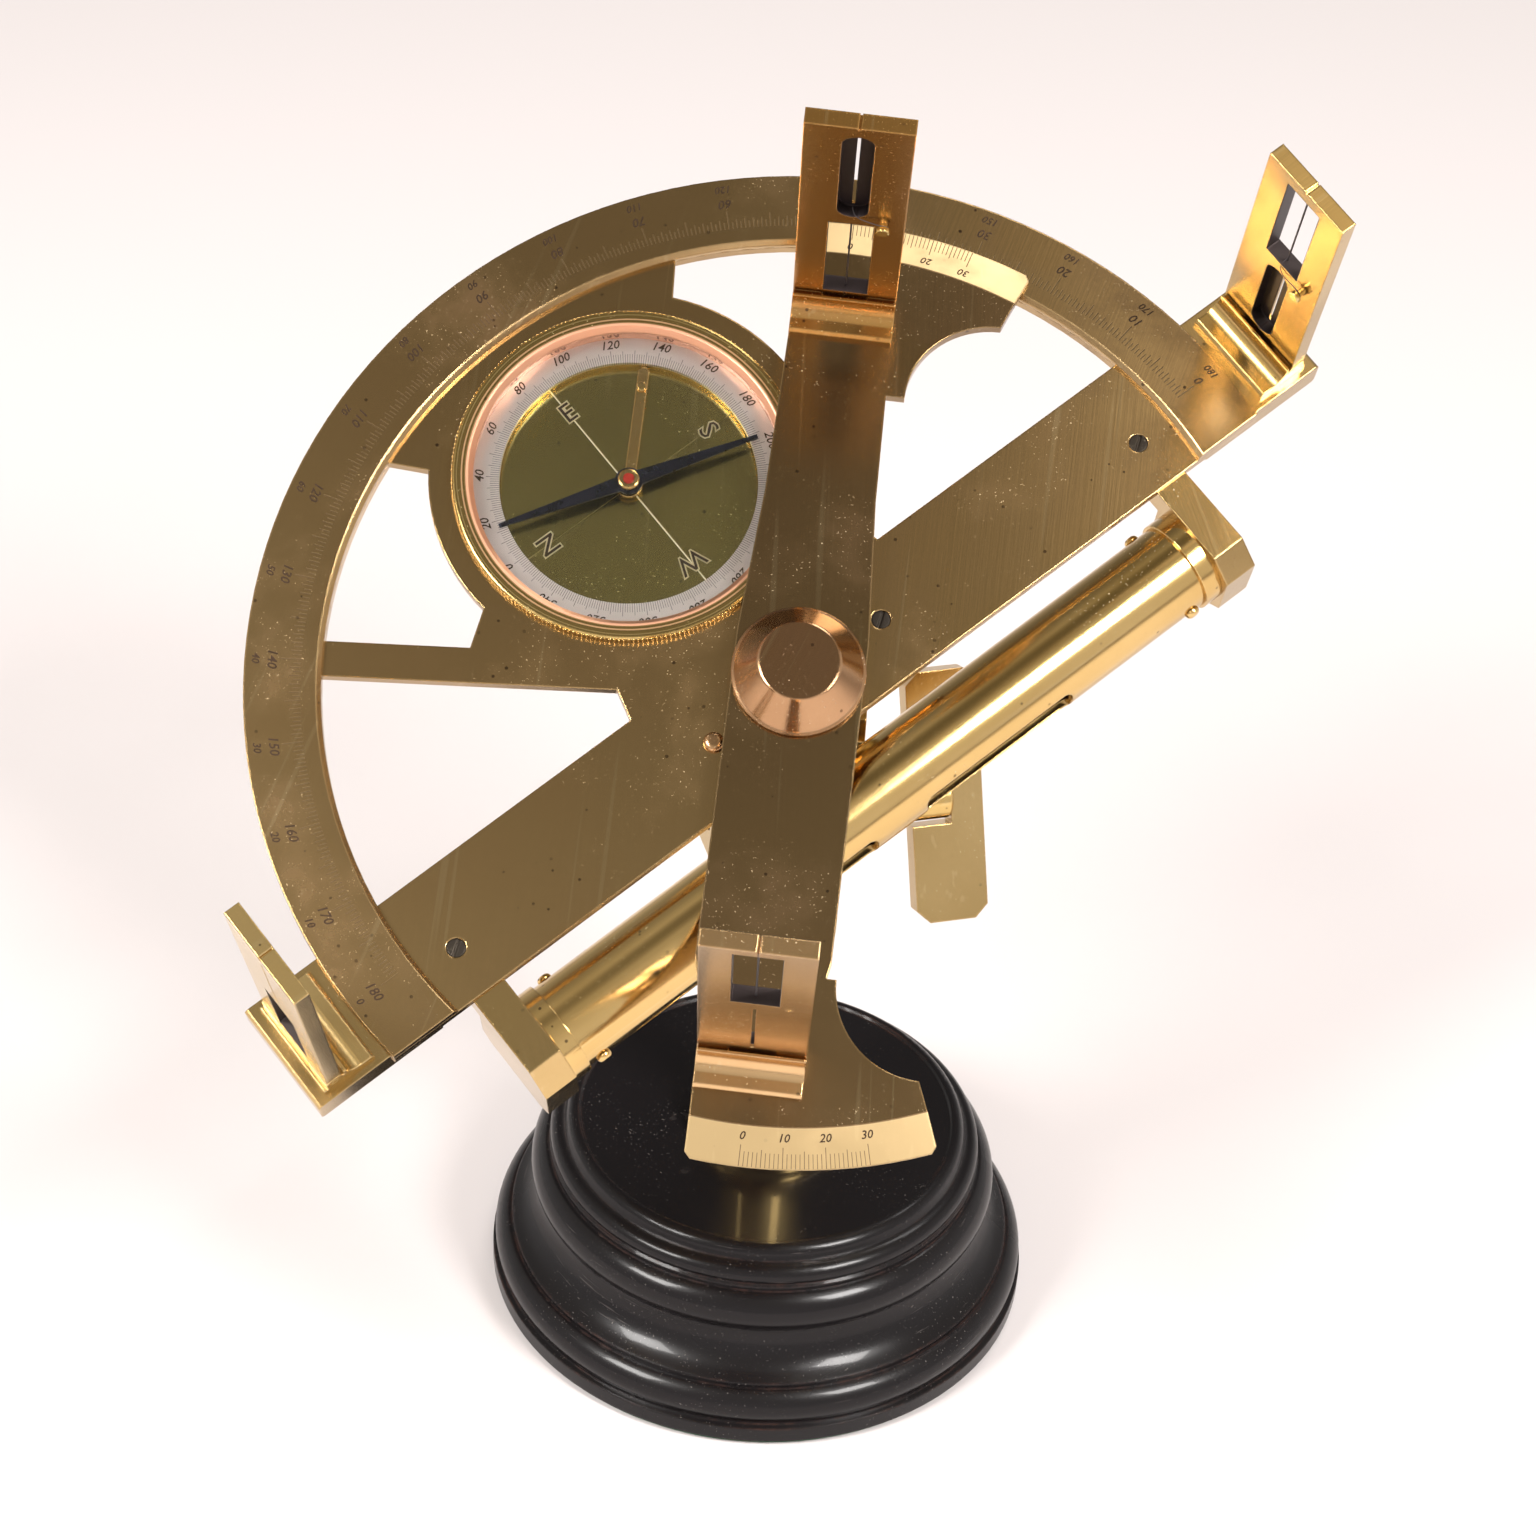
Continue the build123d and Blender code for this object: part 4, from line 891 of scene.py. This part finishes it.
def engraveFigures(name, words, body, material, slant=0.22, depth=0.02, weight=0.0):
    # words: text, place of its middle, height of a capital in metres
    capitalShare = 0.72
    weldWithin = 0.000002
    gathered = bmesh.new()
    for word, place, height in words:
        curve = bpy.data.curves.new("figure", "FONT")
        curve.body = word
        curve.align_x = "CENTER"
        curve.align_y = "CENTER"
        curve.shear = slant
        curve.size = height / capitalShare
        curve.offset = weight
        curve.extrude = depth * mm
        curve.resolution_u = 2
        holder = bpy.data.objects.new("figure", curve)
        bpy.context.scene.collection.objects.link(holder)
        bpy.context.view_layer.update()
        mesh = bpy.data.meshes.new_from_object(holder.evaluated_get(bpy.context.evaluated_depsgraph_get()))
        mesh.transform(place)
        gathered.from_mesh(mesh)
        bpy.data.objects.remove(holder)
        bpy.data.curves.remove(curve)
        bpy.data.meshes.remove(mesh)
    bmesh.ops.remove_doubles(gathered, verts=gathered.verts, dist=weldWithin)
    bmesh.ops.recalc_face_normals(gathered, faces=gathered.faces)
    mesh = bpy.data.meshes.new(name)
    gathered.to_mesh(mesh)
    gathered.free()
    return finishPiece(name, mesh, material, body)


def figurePlace(base, radius, angle, height, facing=0.0):
    # facing 0 puts a figure's top outward, 180 puts it inward
    spin = Matrix.Rotation(radians(angle), 4, "Z")
    shift = Matrix.Translation((radius * mm, 0, height * mm))
    turn = Matrix.Rotation(radians(facing - 90), 4, "Z")
    return base @ spin @ shift @ turn


limbFigures = {"inner": 133.0, "outer": 137.2, "innerHeight": 2.5, "outerHeight": 2.0, "lift": 0.005}
words = []
for value in range(0, 181, 10):
    for figure, row in ((value, "inner"), (180 - value, "outer")):
        place = figurePlace(plateFrame, limbFigures[row], value, limbFigures["lift"], 180)
        words.append((str(figure), place, limbFigures[row + "Height"] * mm))
engraveFigures("limbFigures", words, "instrument", looks["engraving"], weight=0.00005)

ringFigures = {"radius": 38.6, "height": 2.4, "level": -7.0, "lift": 0.005}
words = []
level = ringFigures["level"] + ringFigures["lift"]
for value in range(0, 360, 20):
    place = figurePlace(compassFrame, ringFigures["radius"], 180 - value, level)
    words.append((str(value), place, ringFigures["height"] * mm))
engraveFigures("compassFigures", words, "instrument", looks["engraving"], weight=0.00004)

vernierFigures = {
    "radius": 119.3, "height": 2.1, "innerRadius": 116.7, "outerRadius": 126.6, "top": 3.5, "drop": 2.65,
    "lift": 0.01,
}
words = []
slope = vernierFigures["drop"] / (vernierFigures["outerRadius"] - vernierFigures["innerRadius"])
level = vernierFigures["top"] - (vernierFigures["radius"] - vernierFigures["innerRadius"]) * slope
level += vernierFigures["lift"]
lean = Matrix.Rotation(slope, 4, "Y")
for value in (0, 10, 20, 30):
    for start, way in ((0, -1), (180, 1)):
        spin = Matrix.Rotation(radians(start + way * value * vernierStep), 4, "Z")
        shift = Matrix.Translation((vernierFigures["radius"] * mm, 0, level * mm))
        place = alidadeFrame @ spin @ shift @ lean @ Matrix.Rotation(radians(90), 4, "Z")
        words.append((str(value), place, vernierFigures["height"] * mm))
engraveFigures("vernierFigures", words, "alidade", looks["engraving"], weight=0.00004)

dialLetters = {"radius": 26.0, "height": 5.4, "level": -10.5, "lift": 0.01, "innerLift": 0.03}
words = []
level = dialLetters["level"] + dialLetters["lift"]
for letter, angle in (("S", 0), ("E", 90), ("N", 180), ("W", 270)):
    place = figurePlace(compassFrame, dialLetters["radius"], angle, level)
    words.append((letter, place, dialLetters["height"] * mm))
# fattened letter outlines in pale gold, a painted highlight of the cuts catching light, under the dark
# letters
engraveFigures(
    "dialLetters", words, "instrument", looks["engravingPaintedGlint"], slant=0.0, weight=0.00038,
)
raised = Matrix.Translation((0, 0, dialLetters["innerLift"] * mm))
inner = [(letter, place @ raised, height) for letter, place, height in words]
engraveFigures("dialLettersInner", inner, "instrument", looks["engraving"], slant=0.0)
print("figures engraved")


# ---------------------------------------------------------------- small pieces
def knurlBezel():
    # a fine milled edge round the compass bezel
    size = {"radius": 45.3, "proud": 0.38, "low": -2.35, "high": -0.35, "teeth": 240}
    half = pi * size["radius"] / size["teeth"]
    mesh = bpy.data.meshes.new("bezelKnurl")
    build = bmesh.new()
    corners = []
    for level in (size["low"], size["high"]):
        for proud, side in ((0.0, -half * 0.9), (size["proud"], 0.0), (0.0, half * 0.9)):
            corners.append(build.verts.new(((size["radius"] + proud) * mm, side * mm, level * mm)))
    low, high = corners[:3], corners[3:]
    build.faces.new((low[2], low[1], low[0]))
    build.faces.new(high)
    for first, second in ((0, 1), (1, 2), (2, 0)):
        build.faces.new((low[first], low[second], high[second], high[first]))
    tooth = build.verts[:] + build.edges[:] + build.faces[:]
    sweep = 2 * pi * (1 - 1 / size["teeth"])
    bmesh.ops.spin(
        build, geom=tooth, cent=(0, 0, 0), axis=(0, 0, 1), angle=sweep, steps=size["teeth"] - 1,
        use_duplicate=True,
    )
    bmesh.ops.recalc_face_normals(build, faces=build.faces)
    bmesh.ops.transform(build, matrix=compassFrame, verts=build.verts)
    build.to_mesh(mesh)
    build.free()
    finishPiece("bezelKnurl", mesh, looks["turnedBrass"], "instrument")


def bendWire(name, points, thickness, body):
    curve = bpy.data.curves.new(name, "CURVE")
    curve.dimensions = "3D"
    spline = curve.splines.new("NURBS")
    spline.points.add(len(points) - 1)
    for target, point in zip(spline.points, points):
        target.co = (*point, 1)
    spline.order_u = 4
    spline.use_endpoint_u = True
    curve.bevel_depth = thickness
    curve.bevel_resolution = 2
    curve.use_fill_caps = True
    holder = bpy.data.objects.new(name, curve)
    bpy.context.scene.collection.objects.link(holder)
    bpy.context.view_layer.update()
    mesh = bpy.data.meshes.new_from_object(holder.evaluated_get(bpy.context.evaluated_depsgraph_get()))
    bpy.data.objects.remove(holder)
    bpy.data.curves.remove(curve)
    finishPiece(name, mesh, looks["darkWire"], body, smooth=True)


knurlBezel()

wireRadius = 0.00013
wires = {
    # the loose ends of the sight wires, led over the bridge to their pegs
    "far": {
        "body": "sight_far",
        "points": [
            (1.6, 0.1, 55.6), (0.6, -0.2, 54.2), (-0.35, -1.2, 53.5), (-0.6, -4.0, 52.6),
            (-1.1, -6.4, 52.3), (-1.15, -8.0, 52.5), (-1.1, -9.4, 51.9), (-1.0, -9.3, 50.4),
            (-0.5, -8.2, 49.6),
        ],
    },
    "right": {
        "body": "sight_right",
        "points": [
            (1.9, 0.2, 47.6), (0.6, 0.4, 47.0), (-0.35, 0.3, 46.2), (-0.5, -1.8, 44.2), (-0.9, -4.6, 45.6),
            (-1.1, -6.8, 46.2), (-1.1, -8.6, 46.0), (-1.1, -9.3, 44.4), (-0.6, -8.6, 43.0),
        ],
    },
}
for name, wire in wires.items():
    place = sights[name]["place"]
    points = [place @ (Vector(spot) * mm) for spot in wire["points"]]
    bendWire("wire_" + name, points, wireRadius, wire["body"])


def makeFloor():
    floorHalf = 6.0
    material, tree, shader, where = startMaterial("paleFloor")
    cloud = add(tree, "ShaderNodeTexNoise", {"Vector": where, "Scale": 1.2, "Detail": 2.0})
    feed(
        tree, shader.inputs["Base Color"],
        mixColour(tree, cloud.outputs["Fac"], (0.655, 0.615, 0.62, 1), (0.635, 0.60, 0.60, 1)),
    )
    shader.inputs["Roughness"].default_value = 0.9
    shader.inputs["Specular IOR Level"].default_value = 0.1
    build = bmesh.new()
    bmesh.ops.create_grid(build, x_segments=1, y_segments=1, size=floorHalf)
    mesh = bpy.data.meshes.new("floor")
    build.to_mesh(mesh)
    build.free()
    mesh.materials.append(material)
    floor = bpy.data.objects.new("floor", mesh)
    bpy.context.scene.collection.objects.link(floor)


makeFloor()
print("small pieces and floor done")
